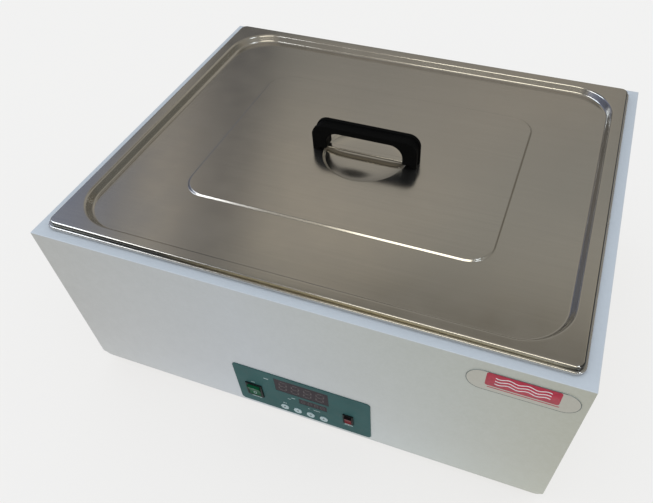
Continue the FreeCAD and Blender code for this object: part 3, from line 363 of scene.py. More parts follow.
FINISHES = {
    "powder_coat": lambda name: painted(name, SKYLIT_LEVEL_PAINT, CABINET_LIGHT_TONES),
    "badge_pale": lambda name: painted(name, LEVEL_BADGE, BADGE_LIGHT_TONES),
    "lid_steel": lambda name: steel(name, (0.62, 0.60, 0.56), 0.18, LID_GRAIN, LID_STREAK, LID_WAVE,
                                    polished=(LID_MIDDLE, DISH_RADIUS*MM, DISH_GLOSS)),
    "pan_steel": lambda name: steel(name, (0.60, 0.59, 0.57), 0.24),
    "handle_black": lambda name: plastic(name, (0.002, 0.002, 0.002), 0.6, grain=900, depth=0.03*MM,
                                         Specular_IOR_Level=0.05),
    "panel_teal": lambda name: plastic(name, (0.030, 0.088, 0.086), 0.5, grain=2200, depth=0.01*MM,
                                       Specular_IOR_Level=0.1),
    "window_tint": lambda name: plastic(name, (0.034, 0.027, 0.031), 0.2, grain=500, depth=0.002*MM,
                                        IOR=1.12),
    "key_white": lambda name: plastic(name, (0.36, 0.45, 0.46), 0.4),
    "rocker_green": lambda name: plastic(name, (0.0, 0.065, 0.025), 0.35, grain=300, depth=0.01*MM, IOR=1.15),
    "rocker_red": lambda name: shaded_above(name, ROCKER_RED, ROCKER_SHADE, ROCKER_SPLIT),
    "switch_black": lambda name: plastic(name, (0.006, 0.008, 0.008), 0.4, IOR=1.2),
    "module_black": lambda name: plastic(name, (0.04, 0.025, 0.025), 0.3),
    "terminal_cream": lambda name: plastic(name, (0.72, 0.67, 0.52), 0.5),
    "lever_blue": lambda name: plastic(name, (0.02, 0.06, 0.22), 0.35, grain=500, depth=0.04*MM),
    "wire_grey": lambda name: plastic(name, (0.16, 0.16, 0.17), 0.5),
    "rubber_black": lambda name: rubber(name, (0.02, 0.02, 0.02)),
    "silicone_grey": lambda name: rubber(name, (0.3, 0.31, 0.32)),
    "mineral_wool": lambda name: wool(name, (0.55, 0.48, 0.32)),
    "zinc_steel": lambda name: machined(name, (0.62, 0.62, 0.60), 0.32),
    "nickel_brass": lambda name: machined(name, (0.66, 0.64, 0.58), 0.2),
    "brass": lambda name: machined(name, (0.75, 0.56, 0.24), 0.28),
    "heatsink_alloy": lambda name: machined(name, (0.70, 0.71, 0.72), 0.4),
    "heater_sheath": lambda name: machined(name, (0.36, 0.33, 0.30), 0.35),
    "board_green": lambda name: board(name, (0.01, 0.13, 0.05)),
}
MATERIALS = {slot: build(slot) for slot, build in FINISHES.items()}
# The material for the painted shade and reflection on the lid's skirt.
LID_EDGE_SHADE = painted_edge_shade("lid_edge_shade")
INK_WHITE = printed("ink_white", (0.38, 0.47, 0.47))
INK_DARK = printed("ink_dark", (0.06, 0.09, 0.09))
INK_RED = printed("ink_red", (0.40, 0.010, 0.036), 0.45)
INK_PALE = printed("ink_pale", (0.66, 0.62, 0.62), 0.4)
SEGMENT = printed("segment_dim", (0.050, 0.036, 0.040))


# ---- mesh helpers ------------------------------------------------------------------------------

WELD = 1e-7
SIDES = ((1, 1, 0), (-1, 1, 90), (-1, -1, 180), (1, -1, 270))


def link_mesh(name, mesh):
    """A new object in the scene for a mesh."""
    made = bpy.data.objects.new(name, mesh)
    bpy.context.scene.collection.objects.link(made)
    return made


def mesh_object(name, points, faces, smooth=True):
    """A linked object from points in metres and faces, with outward normals."""
    mesh = bpy.data.meshes.new(name)
    mesh.from_pydata([tuple(p) for p in points], [], faces)
    mesh.validate()
    shell = bmesh.new()
    shell.from_mesh(mesh)
    bmesh.ops.remove_doubles(shell, verts=shell.verts, dist=WELD)
    bmesh.ops.recalc_face_normals(shell, faces=shell.faces)
    shell.to_mesh(mesh)
    shell.free()
    mesh.polygons.foreach_set("use_smooth", [smooth]*len(mesh.polygons))
    return link_mesh(name, mesh)


def skin(name, rings, cap_start=False, cap_end=False):
    """A surface through closed rings that have equally many points."""
    count = len(rings[0])
    faces = []
    for row in range(len(rings) - 1):
        near, far = row*count, (row + 1)*count
        for i in range(count):
            j = (i + 1) % count
            faces.append((near + i, near + j, far + j, far + i))
    if cap_start:
        faces.append(tuple(range(count)))
    if cap_end:
        faces.append(tuple(range((len(rings) - 1)*count, len(rings)*count)))
    return mesh_object(name, [p for ring in rings for p in ring], faces)


def filleted(corners, steps=6):
    """A path through (u, v, radius) corners, with each inner corner turned into an arc."""
    longest_share = 0.49
    path = [Vector(corners[0][:2])]
    for before, corner, after in zip(corners, corners[1:], corners[2:]):
        here, radius = Vector(corner[:2]), corner[2]
        if radius <= 0:
            path.append(here)
            continue
        arrive, leave = here - Vector(before[:2]), Vector(after[:2]) - here
        turn = arrive.angle(leave)
        hand = 1 if arrive.cross(leave) > 0 else -1
        widest = longest_share*min(arrive.length, leave.length)
        reach = min(radius*math.tan(turn/2), widest)
        radius = reach/math.tan(turn/2)
        start = here - arrive.normalized()*reach
        middle = start + Vector((-arrive.y, arrive.x)).normalized()*hand*radius
        path += [middle + Matrix.Rotation(hand*turn*k/steps, 2) @ (start - middle) for k in range(steps + 1)]
    path.append(Vector(corners[-1][:2]))
    return path


def rounded_ring(half_x, half_y, corner, height):
    """A rounded rectangle about the bath's middle, with its points spread evenly enough to skin."""
    per_corner, per_side, sharpest = 16, 16, 0.1*MM
    corner = max(corner, sharpest)
    spots = [(sx*(half_x - corner), MIDDLE_Y + sy*(half_y - corner), start) for sx, sy, start in SIDES]

    def on_corner(spot, turned):
        """A point on a corner's arc, some degrees after the arc's start."""
        x, y, start = spot
        angle = math.radians(start + turned)
        return Vector((x + corner*math.cos(angle), y + corner*math.sin(angle), height))

    ring = []
    for spot, next_spot in zip(spots, spots[1:] + spots[:1]):
        ring += [on_corner(spot, 90*k/per_corner) for k in range(per_corner + 1)]
        last, target = ring[-1], on_corner(next_spot, 0)
        ring += [last.lerp(target, k/(per_side + 1)) for k in range(1, per_side + 1)]
    return ring


def lathe(name, path, base):
    """A turned solid: (radius, height) points about an axis that runs forwards from base, in metres."""
    segments, thinnest = 64, 0.001*MM
    turns = [2*math.pi*k/segments for k in range(segments)]
    forwards = Matrix.Rotation(math.radians(90), 3, "X")
    rings = []
    for radius, height in path:
        wide = max(radius, thinnest)
        ring = [Vector((wide*math.cos(a), wide*math.sin(a), height)) for a in turns]
        rings.append([Vector(base) + forwards @ point for point in ring])
    return skin(name, rings, cap_start=True, cap_end=True)


def slab(name, outline, front, back):
    """An upright plate: an outline of (x, z) points given a thickness from front to back."""
    return skin(name, [[Vector((x, y, z)) for x, z in outline] for y in (front, back)], True, True)


def edge_round(thing, width, limit=35):
    """Rounds the edges of a piece or a CAD node that are sharper than a limit in degrees."""
    bevel = thing.modifiers.new("edges", "BEVEL")
    bevel.width = width
    bevel.segments = 3
    bevel.limit_method = "ANGLE"
    bevel.angle_limit = math.radians(limit)
    bevel.harden_normals = False
    even_shading(thing)


def even_shading(thing):
    """Weights the shading normals by face area, which keeps flat faces flat."""
    thing.data.polygons.foreach_set("use_smooth", [True]*len(thing.data.polygons))
    weighted = thing.modifiers.new("shading", "WEIGHTED_NORMAL")
    weighted.keep_sharp = True


def carve(thing, cutter):
    """Cuts one object out of another for good."""
    cut = thing.modifiers.new("cut", "BOOLEAN")
    cut.operation = "DIFFERENCE"
    cut.solver = "EXACT"
    cut.object = cutter
    bpy.context.view_layer.update()
    shaped = bpy.data.meshes.new_from_object(thing.evaluated_get(bpy.context.evaluated_depsgraph_get()))
    thing.modifiers.remove(cut)
    thing.data = shaped
    bpy.data.objects.remove(cutter)


def merged(name, things):
    """Several meshes as one object."""
    whole = bmesh.new()
    for thing in things:
        whole.from_mesh(thing.data)
        bpy.data.objects.remove(thing)
    mesh = bpy.data.meshes.new(name)
    whole.to_mesh(mesh)
    whole.free()
    return link_mesh(name, mesh)


def place_piece(piece, slot, body, *nodes):
    """Puts a piece that has its materials under a body and hides the CAD nodes that it stands for; slot is not
    used.
    """
    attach(piece, body)
    if nodes:
        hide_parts(*nodes)


def finish_piece(piece, slot, body, *nodes, material=None):
    """Gives a piece one material, the slot's unless another is given, puts it under a body and hides the CAD nodes
    that it stands for.
    """
    piece.data.materials.append(material or MATERIALS[slot])
    place_piece(piece, slot, body, *nodes)


# ---- CAD nodes ---------------------------------------------------------------------------------

SWITCH_EDGE, FITTING_EDGE = 0.5*MM, 0.35*MM

for node, thing in NODES.items():
    thing.data.materials.clear()
    thing.data.materials.append(MATERIALS[SLOT_OF[node]])

for node in ("power_switch_body", "heater_switch_body"):
    edge_round(NODES[node], SWITCH_EDGE)
for node in ("valve_body", "hose_tail", "fuse_drawer", "power_inlet", "inlet_pins", "rubber_feet"):
    edge_round(NODES[node], FITTING_EDGE)


# ---- lid ---------------------------------------------------------------------------------------

# Half length, half depth and corner radius of the lid's outline, its sunken field and its plateau.
RIM, FIELD, PLATEAU = (325, 263, 10), (308, 248, 61), (207, 151.5, 33)
FIELD_DROP, WALL_RUN, PLATEAU_RISE, PLATEAU_RUN = 10, 5.32, 2, 2.4
PLATEAU_LEVEL = PLATEAU_RISE - FIELD_DROP
DISH_DEEP, DISH_WALL, DISH_SAG = 5, 3, 2.2
LID_GAUGE = 1.0*MM


def lid_rings(outline, corners):
    """Rings of the lid's section about one outline, from its (inset, height, radius) corners."""
    half_x, half_y, corner = outline
    return [rounded_ring((half_x - inset)*MM, (half_y - inset)*MM, (corner - inset)*MM, LID_TOP + height*MM)
            for inset, height in filleted(corners)]


def round_ring(radius, height, like):
    """A circle whose points lie in the same directions as those of another ring."""
    turns = [math.atan2(p.y - MIDDLE_Y, p.x) for p in like]
    wide = radius*MM
    return [Vector((wide*math.cos(a), MIDDLE_Y + wide*math.sin(a), LID_TOP + height*MM)) for a in turns]


def dish_path():
    """The dish's section as (radius, height): a rounded edge, a steep wall and a floor that sags."""
    edge_flat, edge_round_radius, foot_round_radius = 12, 1.2, 1.6
    floor_steps, smallest, flatness = 18, 0.5, 5
    reach = DISH_RADIUS - DISH_WALL
    bottom = PLATEAU_LEVEL - DISH_DEEP
    shares = [1 - k/floor_steps for k in range(floor_steps + 1)]
    bowl = [Vector((max(reach*share, smallest), bottom + DISH_SAG*share**flatness)) for share in shares]
    corners = [(DISH_RADIUS + edge_flat, PLATEAU_LEVEL, 0), (DISH_RADIUS, PLATEAU_LEVEL, edge_round_radius),
               (*bowl[0], foot_round_radius), (*bowl[1], 0)]
    return filleted(corners) + bowl[2:]


def paint_edge_shade(shell):
    """Gives the lid's turned-down faces, and its right end's rounding, the second material, which paints shade and
    reflection on them.
    """
    outer_x, outer_y, right_end = 316*MM, 256*MM, 320*MM
    skirt_top = LID_TOP - 1.1*MM
    steep, leaning = 0.5, 0.15
    for face in shell.data.polygons:
        outside = abs(face.center.x) > outer_x or abs(face.center.y - MIDDLE_Y) > outer_y
        turned_down = face.center.z < skirt_top and abs(face.normal.z) < steep
        right_rounding = face.normal.x > leaning and face.center.x > right_end
        if outside and (turned_down or right_rounding):
            face.material_index = 1


def lid_shell():
    """The pressed lid as one smooth skin, thickened to sheet, with painted shade and reflection on its skirt."""
    skirt, rim_round, rim_flat = 4.9, 2.4, 7
    wall_lead, wall_top_round, wall_foot_round, field_flat = 4.4, 5, 4, 18
    step_lead, step_foot_round, step_top_round, plateau_flat = 8, 1.4, 1.6, 12
    rings = lid_rings(RIM, [(0, -skirt, 0), (0, 0, rim_round), (rim_flat, 0, 0)])
    rings += lid_rings(FIELD, [(-wall_lead, 0, 0), (0, 0, wall_top_round),
                               (WALL_RUN, -FIELD_DROP, wall_foot_round), (field_flat, -FIELD_DROP, 0)])
    rings += lid_rings(PLATEAU, [(-step_lead, -FIELD_DROP, 0), (0, -FIELD_DROP, step_foot_round),
                                 (PLATEAU_RUN, PLATEAU_LEVEL, step_top_round),
                                 (plateau_flat, PLATEAU_LEVEL, 0)])
    like = rings[-1]
    rings += [round_ring(radius, height, like) for radius, height in dish_path()]
    shell = skin("lid_shell", rings, cap_end=True)
    shell.data.materials.append(MATERIALS["lid_steel"])
    # The second material paints shade and reflection on the skirt.
    shell.data.materials.append(LID_EDGE_SHADE)
    paint_edge_shade(shell)
    sheet = shell.modifiers.new("gauge", "SOLIDIFY")
    sheet.thickness = LID_GAUGE
    sheet.offset = -1
    sheet.use_even_offset = True
    even_shading(shell)
    place_piece(shell, "lid_steel", BODY_OF["lid"], "lid")


def handle_arch(reach, top, radius):
    """Points and outward normals over one side of the handle's arch."""
    leg_steps, bend_steps, grip_steps = 6, 16, 5
    found = [(Vector((-reach, (top - radius)*k/leg_steps)), Vector((-1, 0))) for k in range(leg_steps)]
    for k in range(bend_steps + 1):
        angle = math.radians(180 - 90*k/bend_steps)
        out = Vector((math.cos(angle), math.sin(angle)))
        found.append((Vector((-reach + radius, top - radius)) + out*radius, out))
    found += [(Vector(((reach - radius)*(k - grip_steps)/grip_steps, top)), Vector((0, 1)))
              for k in range(1, grip_steps + 1)]
    mirrored = [(Vector((-p.x, p.y)), Vector((-n.x, n.y))) for p, n in reversed(found[:-1])]
    return found + mirrored


def handle_bridge():
    """The moulded bridge handle: one section with a grooved back swept over an arch."""
    half, leg, grip, high, deep = 75, 20, 9.5, 38.5, 11
    outer_bend, inner_bend = 17, 18
    groove_half, groove_deep, groove_round, side = 5, 1.6, 0.5, 4
    back_round, palm_round = 1.2, 1.8
    notch_half, notch_low, notch_high, notch_reach = 65*MM, -1*MM, 2.7*MM, 20*MM
    base = LID_TOP + PLATEAU_LEVEL*MM
    back = filleted([(-deep, -side, 0), (-deep, 0, back_round),
                     (-groove_half, 0, groove_round), (-groove_half, -groove_deep, groove_round),
                     (groove_half, -groove_deep, groove_round), (groove_half, 0, groove_round),
                     (deep, 0, back_round), (deep, -side, 0)], steps=4)
    palm = filleted([(deep, side, 0), (deep, 0, palm_round),
                     (-deep, 0, palm_round), (-deep, side, 0)], steps=5)
    outside = handle_arch(half, high, outer_bend)
    inside = handle_arch(half - leg, high - grip, inner_bend)
    rings = []
    for (outer, out), (inner, _) in zip(outside, inside):
        section = [(y, outer + out*d) for y, d in back] + [(y, inner + out*d) for y, d in palm]
        rings.append([Vector((p.x*MM, MIDDLE_Y + y*MM, base + p.y*MM)) for y, p in section])
    bridge = skin("handle_bridge", rings, True, True)
    outline = [(-notch_half, base + notch_low), (notch_half, base + notch_low),
               (notch_half, base + notch_high), (-notch_half, base + notch_high)]
    carve(bridge, slab("notch", outline, MIDDLE_Y - notch_reach, MIDDLE_Y + notch_reach))
    even_shading(bridge)
    finish_piece(bridge, "handle_black", BODY_OF["lid_handle"], "lid_handle")


def dish_bar():
    """The flat strap with rounded edges across the dish."""
    steps, edge_share = 24, 0.4
    low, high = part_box("handle_strap")
    half = (high.y - low.y)/2
    edge = (high.z - low.z)*edge_share
    section = filleted([(-half, low.z, 0), (-half, high.z, edge), (half, high.z, edge), (half, low.z, 0)])
    rings = [[Vector((low.x + (high.x - low.x)*k/steps, MIDDLE_Y + y, z)) for y, z in section]
             for k in range(steps + 1)]
    bar = skin("dish_bar", rings, True, True)
    even_shading(bar)
    finish_piece(bar, "lid_steel", BODY_OF["handle_strap"], "handle_strap")


lid_shell()
handle_bridge()
dish_bar()


# ---- control panel -----------------------------------------------------------------------------

def ellipse(x, z, half_x, half_z, count=32):
    """An oval outline."""
    turns = [2*math.pi*k/count for k in range(count)]
    return [(x + half_x*math.cos(a), z + half_z*math.sin(a)) for a in turns]


def stadium(x, z, half_x, half_z, radius, steps=6):
    """A rounded bar outline."""
    found = []
    for side_x, side_z, start in SIDES:
        for k in range(steps + 1):
            angle = math.radians(start + 90*k/steps)
            found.append((x + side_x*(half_x - radius) + radius*math.cos(angle),
                          z + side_z*(half_z - radius) + radius*math.sin(angle)))
    return found


def hoop(name, outer, inner, front, back):
    """A flat upright ring between two outlines with equally many points."""
    turns = ((outer, front), (outer, back), (inner, back), (inner, front), (outer, front))
    return skin(name, [[Vector((x, y, z)) for x, z in line] for line, y in turns])


def segment_digit(x, z, wide, tall, stroke):
    """The outlines of a seven-segment figure's bars about a centre."""
    slant, gap_share, tip = 0.12, 0.28, stroke/2
    half_x, half_z = wide/2 - stroke/2, tall/2 - stroke/2
    bars = [(0, half_z, False), (0, 0, False), (0, -half_z, False)]
    bars += [(sx*half_x, sz*half_z/2, True) for sx in (-1, 1) for sz in (-1, 1)]
    found = []
    for bar_x, bar_z, upright in bars:
        long = (half_z/2 if upright else half_x) - stroke*gap_share
        line = [(-long, 0), (-long + tip, tip), (long - tip, tip),
                (long, 0), (long - tip, -tip), (-long + tip, -tip)]
        if upright:
            line = [(v, u) for u, v in line]
        found.append([(x + bar_x + u + slant*(bar_z + v), z + bar_z + v) for u, v in line])
    return found


def display_digits(node, wide, tall, stroke):
    """Four unlit figures that show faintly in a tinted window."""
    count, margin, proud, sunk = 4, 0.35, 0.03*MM, 0.05*MM
    low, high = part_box(node)
    middle = centre_of(node)
    pitch = (high.x - low.x)/(count + margin)
    parts = []
    for k in range(count):
        x = middle.x + (k - (count - 1)/2)*pitch
        for line in segment_digit(x, middle.z, wide*MM, tall*MM, stroke*MM):
            parts.append(slab("bar", line, low.y - proud, low.y + sunk))
    finish_piece(merged(f"{node}_figures", parts), "window_tint", BODY_OF[node], material=SEGMENT)


# Middle, half length and half height of the dashes that stand for the panel's small print.
DASHES = [(-46, 99, 3.6, 0.9), (-9, 67.5, 3, 0.8), (-15.5, 62.5, 2.4, 0.7), (-24, 47, 3, 0.7),
          (13, 52, 1.2, 0.6), (25, 52.5, 5, 0.6), (-69, 78.5, 3, 0.6), (-69, 39.5, 8, 0.8),
          (72, 44.2, 5.5, 0.8), (72, 41.4, 6.5, 0.7)]
# A bar's ends are just short of half circles, so that no two of its points meet.
BAR_END, PLATE_END = 0.98, 0.999


def panel_marks():
    """Plain dashes and dots where the panel has its small print."""
    proud, sunk = 0.03*MM, 0.1*MM
    parts = [slab("dash", stadium(x*MM, z*MM, half*MM, thick*MM, thick*BAR_END*MM),
                  PANEL_FACE - proud, PANEL_FACE + sunk) for x, z, half, thick in DASHES]
    finish_piece(merged("panel_marks", parts), "key_white", BODY_OF["control_panel"], material=INK_WHITE)


# A key's section as (radius, depth, rounding) corners: dished top, side, flange and the start of its plunger.
KEY_PLUNGER = 2
KEY_SECTION = [(0, 0.25, 0), (3.5, 0.22, 2), (5.2, 0.02, 0.8), (6, 0.02, 0.5), (6, 2.0, 0), (6, 2.3, 0),
               (7.2, 2.3, 0), (7.2, 3.3, 0), (KEY_PLUNGER, 3.3, 0)]
# Printed symbols on the keys: a dot and three arrows.
SYMBOLS = {
    "set_key": ellipse(0, 0, 1.7, 1.7, 24),
    "shift_key": [(-2.3, 0), (1.3, 2.1), (1.3, -2.1)],
    "down_key": [(0, -2.3), (2.2, 1.3), (-2.2, 1.3)],
    "up_key": [(0, 2.3), (-2.2, -1.3), (2.2, -1.3)],
}


def key_cap(node, symbol):
    """A round key with a soft dish in its top, its flange and plunger, and a printed symbol."""
    print_level, ring_outer, ring_inner, lift, thick = 0.16*MM, 4.4*MM, 4.0*MM, 0.02*MM, 0.2*MM
    low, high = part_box(node)
    centre = centre_of(node)
    foot = (high.y - low.y)/MM
    path = filleted(KEY_SECTION + [(KEY_PLUNGER, foot, 0), (0, foot, 0)], steps=4)
    cap = lathe(node + "_cap", [(r*MM, -depth*MM) for r, depth in path], (centre.x, low.y, centre.z))
    even_shading(cap)
    finish_piece(cap, "key_white", BODY_OF[node], node)
    face = low.y + print_level
    ring = hoop("ring", ellipse(centre.x, centre.z, ring_outer, ring_outer),
                ellipse(centre.x, centre.z, ring_inner, ring_inner), face - lift, face + thick)
    outline = [(centre.x + u*MM, centre.z + v*MM) for u, v in symbol]
    parts = [ring, slab("symbol", outline, face, face + thick)]
    finish_piece(merged(node + "_symbol", parts), "key_white", BODY_OF[node], material=INK_DARK)


def hollow_face(z, end):
    """Where a rocker's front lies at a height: nearest its axle in the middle, and furthest at the ends."""
    at_middle, more_at_end = -2.4, -1.65
    return at_middle + more_at_end*(z/end)**2


def rocker(node, half, reach, marked):
    """A rocker with a hollow face between two thumb ends, tilted about its axle, with or without I and O."""
    tilt, end_share, face_steps = 9, 0.947, 10
    edge, edge_limit, end_angles = 0.45*MM, 40, (86, 97, 108, 119)
    joint = next(j for j in frame["joints"] if j["child"] == BODY_OF[node])
    end = reach*end_share
    place = Matrix.Translation(joint["pos_m"]) @ Matrix.Rotation(math.radians(tilt), 4, "X")
    heights = [end*k/face_steps for k in range(-face_steps, face_steps + 1)]
    ends = [(-math.cos(a)*reach, math.sin(a)*reach) for a in map(math.radians, end_angles)]
    outline = [(hollow_face(z, end), z) for z in heights] + ends + [(y, -z) for y, z in reversed(ends)]
    rings = [[Vector((x*MM, y*MM, z*MM)) for y, z in outline] for x in (-half, half)]
    cap = skin(node + "_cap", rings, True, True)
    cap.data.transform(place)
    edge_round(cap, edge, edge_limit)
    finish_piece(cap, SLOT_OF[node], BODY_OF[node], node)
    if marked:
        rocker_marks(node, end, place)


def rocker_marks(node, end, place):
    """A printed I and O that follow a rocker's hollow face."""
    lift = 0.04
    i_level, i_half_x, i_half_z, i_end = 6.2, 0.55, 2.0, 0.5
    o_level, o_outer, o_inner = -6.0, (2.5, 2.9), (1.7, 2.1)

    def laid(line, height):
        """An outline laid over the hollow face."""
        return [Vector((x*MM, (hollow_face(z, end) + height)*MM, z*MM)) for x, z in line]

    stroke = stadium(0, i_level, i_half_x, i_half_z, i_end)
    outer, inner = ellipse(0, o_level, *o_outer), ellipse(0, o_level, *o_inner)
    turns = ((outer, -lift), (outer, lift), (inner, lift), (inner, -lift), (outer, -lift))
    figure_i = skin("mark", [laid(stroke, -lift), laid(stroke, lift)], True, True)
    figure_o = skin("mark", [laid(line, height) for line, height in turns])
    marks = merged(node + "_marks", [figure_i, figure_o])
    marks.data.transform(place)
    finish_piece(marks, "key_white", BODY_OF[node], material=INK_WHITE)


display_digits("display_window", wide=12.5, tall=21, stroke=2.2)
display_digits("timer_window", wide=6, tall=9, stroke=1.1)
panel_marks()
for node, symbol in SYMBOLS.items():
    key_cap(node, symbol)
rocker("power_rocker", half=9, reach=12.2, marked=True)
rocker("heater_rocker", half=4.9, reach=9.1, marked=False)


# ---- nameplate ---------------------------------------------------------------------------------

def wave(x, z, y):
    """One wave line about a middle, printed on the face at y."""
    half_length, steps, pitch, height, half_stroke, proud = 29, 48, 20, 1.5, 0.75, 0.1*MM
    places = [-half_length + 2*half_length*k/steps for k in range(steps + 1)]
    crest = [(u, height*math.sin(u*2*math.pi/pitch)) for u in places]
    outline = [(x + u*MM, z + (v + half_stroke)*MM) for u, v in crest]
    outline += [(x + u*MM, z + (v - half_stroke)*MM) for u, v in reversed(crest)]
    around = len(outline)
    points = [Vector((u, depth, v)) for depth in (y - proud, y) for u, v in outline]
    front = [(i, i + 1, around - 2 - i, around - 1 - i) for i in range(steps)]
    back = [tuple(around + i for i in reversed(face)) for face in front]
    sides = [(i, (i + 1) % around, around + (i + 1) % around, around + i) for i in range(around)]
    return mesh_object("wave", points, front + back + sides, smooth=False)


def nameplate():
    """A dark line round the edge as painted shadow, and a plain red band with three wave lines over a thin rule,
    on the blank plate.
    """
    shadow_width, corner_steps, line_proud, proud, sunk = 0.6*MM, 16, 0.05*MM, 0.06*MM, 0.3*MM
    band_x, band_z, band_corner, band_steps, row_pitch = 39*MM, 12*MM, 3*MM, 8, 5.4*MM
    rule_x, rule_z, rule_end, rule_shift = 38*MM, 0.7*MM, 0.69*MM, 2*MM
    band_share, rule_share = 0.28, 0.56
    low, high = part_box("badge_plate")
    middle = centre_of("badge_plate")
    x, y, z = middle.x, low.y, middle.z
    half_x, half_z = (high.x - low.x)/2, (high.z - low.z)/2
    inner_x, inner_z = half_x - shadow_width, half_z - shadow_width
    # The dark line round the plate's edge is painted shadow.
    line = hoop("plate_edge_shadow", stadium(x, z, half_x, half_z, half_z*PLATE_END, corner_steps),
                stadium(x, z, inner_x, inner_z, inner_z*PLATE_END, corner_steps),
                y - line_proud, y + sunk)
    finish_piece(line, "switch_black", BODY_OF["badge_plate"], material=INK_DARK)
    band_level = z + band_share*half_z
    band = slab("band", stadium(x, band_level, band_x, band_z, band_corner, band_steps),
                y - proud, y + sunk)
    rule = slab("rule", stadium(x + rule_shift, z - rule_share*half_z, rule_x, rule_z, rule_end),
                y - proud, y + sunk)
    finish_piece(merged("plate_band", [band, rule]), "rocker_red", BODY_OF["badge_plate"], material=INK_RED)
    waves = [wave(x, band_level + row*row_pitch, y) for row in (-1, 0, 1)]
    finish_piece(merged("plate_waves", waves), "key_white", BODY_OF["badge_plate"], material=INK_PALE)


nameplate()


# ---- floor, light and camera -------------------------------------------------------------------

# The even sky, from below to overhead.
SKY_TONES = [(0.0, (0.72, 0.735, 0.73)), (1.0, (0.80, 0.89, 1.0))]
SKY_STRENGTH = 1.30
# The room that shows in reflections, from the horizon to overhead.
ROOM_CLIMB = [(0.0, (0.10, 0.095, 0.08)), (0.30, (0.22, 0.21, 0.185)), (0.48, (0.32, 0.305, 0.275)),
              (0.66, (0.395, 0.38, 0.34)), (0.746, (0.37, 0.355, 0.31)), (0.785, (0.16, 0.15, 0.125)),
              (1.0, (0.40, 0.39, 0.37))]
# The same room from left to right, as factors: a blue window side, a bright post, a dark gap, a plain wall.
ROOM_SIDES = [(0.0, (0.74, 0.86, 1.4)), (0.17, (0.73, 0.85, 1.3)), (0.20, (0.62, 0.64, 0.70)),
              (0.222, (1.32, 1.28, 1.25)), (0.243, (0.52, 0.53, 0.57)), (0.270, (0.40, 0.41, 0.45)),
              (0.292, (0.96, 0.96, 0.95)), (0.33, (1.02, 1.01, 1.0)), (1.0, (0.95, 0.94, 0.90))]
ROOM_CLOUD = [(0.32, (0.80, 0.83, 0.87)), (0.66, (1.14, 1.09, 1.05))]
CLOUD_SCALE, CLOUD_DETAIL = 3.5, 2
# Half the floor's width in metres, and how strongly the floor glows.
FLOOR_HALF, FLOOR_GLOW = 6, 0.68
FLOOR_TONES = [(NOISE_LOW, (0.205, 0.195, 0.185)), (NOISE_HIGH, (0.207, 0.197, 0.187))]

# Soft lights: name, place, width, height, watts and colour. All of them point at the bath's top.
SOFTBOXES = [
    ("front_box", (0.15, -1.65, 2.2), 1.7, 0.8, 12, (1.0, 0.95, 0.80)),
    ("front_left_box", (-1.5, -0.95, 1.75), 0.9, 0.6, 6, (0.96, 0.98, 1.0)),
    ("left_box", (-1.9, -0.1, 1.8), 0.9, 0.7, 6, (0.80, 0.90, 1.0)),
    ("right_box", (1.25, -0.6, 2.0), 0.5, 0.35, 4, (0.82, 0.91, 1.0)),
    ("low_right_box", (2.3, -1.35, 0.5), 0.8, 0.5, 4, (0.90, 0.95, 1.0)),
]


def floor():
    """A plain pale floor that glows a little, so that shadows on it stay faint."""
    corners = [(-FLOOR_HALF, -FLOOR_HALF, 0), (FLOOR_HALF, -FLOOR_HALF, 0),
               (FLOOR_HALF, FLOOR_HALF, 0), (-FLOOR_HALF, FLOOR_HALF, 0)]
    made = mesh_object("floor", corners, [(0, 1, 2, 3)], smooth=False)
    surface = Finish("floor", roughness=0.9, Specular_IOR_Level=0.0,
                     Emission_Color=(1, 0.99, 0.975, 1), Emission_Strength=FLOOR_GLOW)
    surface.colour(surface.ramp(surface.noise(scale=1.5), FLOOR_TONES))
    made.data.materials.append(surface.material)


def softbox(name, place, wide, tall, power, colour):
    """A soft rectangular light that shows in reflections only, and not as itself."""
    data = bpy.data.lights.new(name, "AREA")
    data.shape = "RECTANGLE"
    data.size, data.size_y = wide, tall
    data.energy = power
    data.color = colour
    made = bpy.data.objects.new(name, data)
    made.location = place
    made.rotation_mode = "QUATERNION"
    made.rotation_quaternion = (Vector((0, 0, HOUSING_TOP)) - Vector(place)).to_track_quat("-Z", "Y")
    made.visible_camera = False
    made.visible_diffuse = False
    bpy.context.scene.collection.objects.link(made)


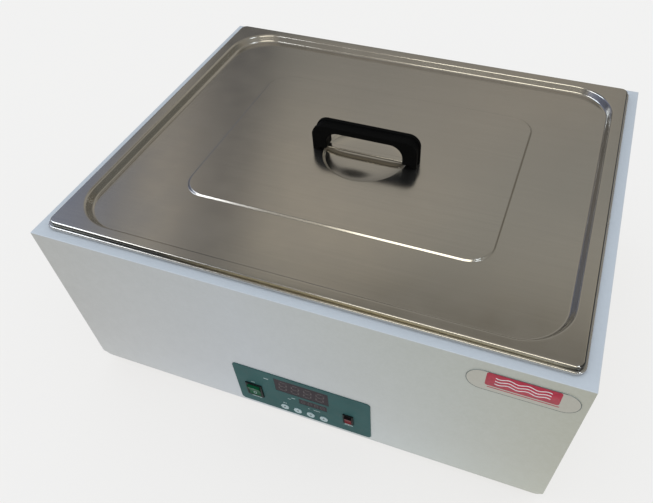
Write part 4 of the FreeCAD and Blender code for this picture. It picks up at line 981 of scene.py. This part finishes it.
def studio():
    """Even sky light for the eye and for paint; in reflections, an uneven room with soft lights."""
    world = bpy.data.worlds.new("studio")
    bpy.context.scene.world = world
    world.use_nodes = True
    tree = world.node_tree
    add, link = tree.nodes.new, tree.links.new
    sky = tree.nodes["Background"]
    place = add("ShaderNodeTexCoord")
    split = add("ShaderNodeSeparateXYZ")
    link(place.outputs["Generated"], split.inputs["Vector"])

    def times(first, second):
        """Two colours multiplied."""
        node = add("ShaderNodeMix")
        node.data_type = "RGBA"
        node.blend_type = "MULTIPLY"
        node.inputs[MIX_FACTOR].default_value = 1.0
        link(first, node.inputs[MIX_FIRST])
        link(second, node.inputs[MIX_SECOND])
        return node.outputs[MIX_RESULT]

    link(colour_ramp(tree, split.outputs["Z"], SKY_TONES), sky.inputs["Color"])
    sky.inputs["Strength"].default_value = SKY_STRENGTH
    climb = colour_ramp(tree, split.outputs["Z"], ROOM_CLIMB)
    turned = add("ShaderNodeMapRange")
    for socket, value in zip(FROM_TO, (-1, 1, 0, 1)):
        turned.inputs[socket].default_value = value
    link(split.outputs["X"], turned.inputs["Value"])
    sides = colour_ramp(tree, turned.outputs["Result"], ROOM_SIDES)
    blotches = add("ShaderNodeTexNoise")
    blotches.inputs["Scale"].default_value = CLOUD_SCALE
    blotches.inputs["Detail"].default_value = CLOUD_DETAIL
    link(place.outputs["Generated"], blotches.inputs["Vector"])
    cloud = colour_ramp(tree, blotches.outputs["Fac"], ROOM_CLOUD)
    room = add("ShaderNodeBackground")
    link(times(times(climb, sides), cloud), room.inputs["Color"])
    rays = add("ShaderNodeLightPath")
    choose = add("ShaderNodeMixShader")
    link(rays.outputs["Is Glossy Ray"], choose.inputs["Fac"])
    link(sky.outputs["Background"], choose.inputs[1])
    link(room.outputs["Background"], choose.inputs[2])
    link(choose.outputs["Shader"], tree.nodes["World Output"].inputs["Surface"])
    for light in SOFTBOXES:
        softbox(*light)


def camera():
    """The reference view: front right, looking down at the lid."""
    right, up, ahead = (0.9390, 0.3432, -0.0189), (-0.2521, 0.7252, 0.6407), (-0.2336, 0.5969, -0.7676)
    aside, before, above = 0.23989, 0.35310, 0.51572
    data = bpy.data.cameras.new("camera")
    data.sensor_width = 36
    data.lens = 33.04
    data.shift_x, data.shift_y = -0.0591, 0.0603
    made = bpy.data.objects.new("camera", data)
    made.location = (aside, HOUSING_FRONT - before, HOUSING_TOP + above)
    axes = Matrix((right, up, tuple(-a for a in ahead))).transposed()
    made.rotation_euler = axes.to_euler()
    bpy.context.scene.collection.objects.link(made)
    bpy.context.scene.camera = made


floor()
studio()
camera()
bpy.context.scene.view_settings.view_transform = "Standard"
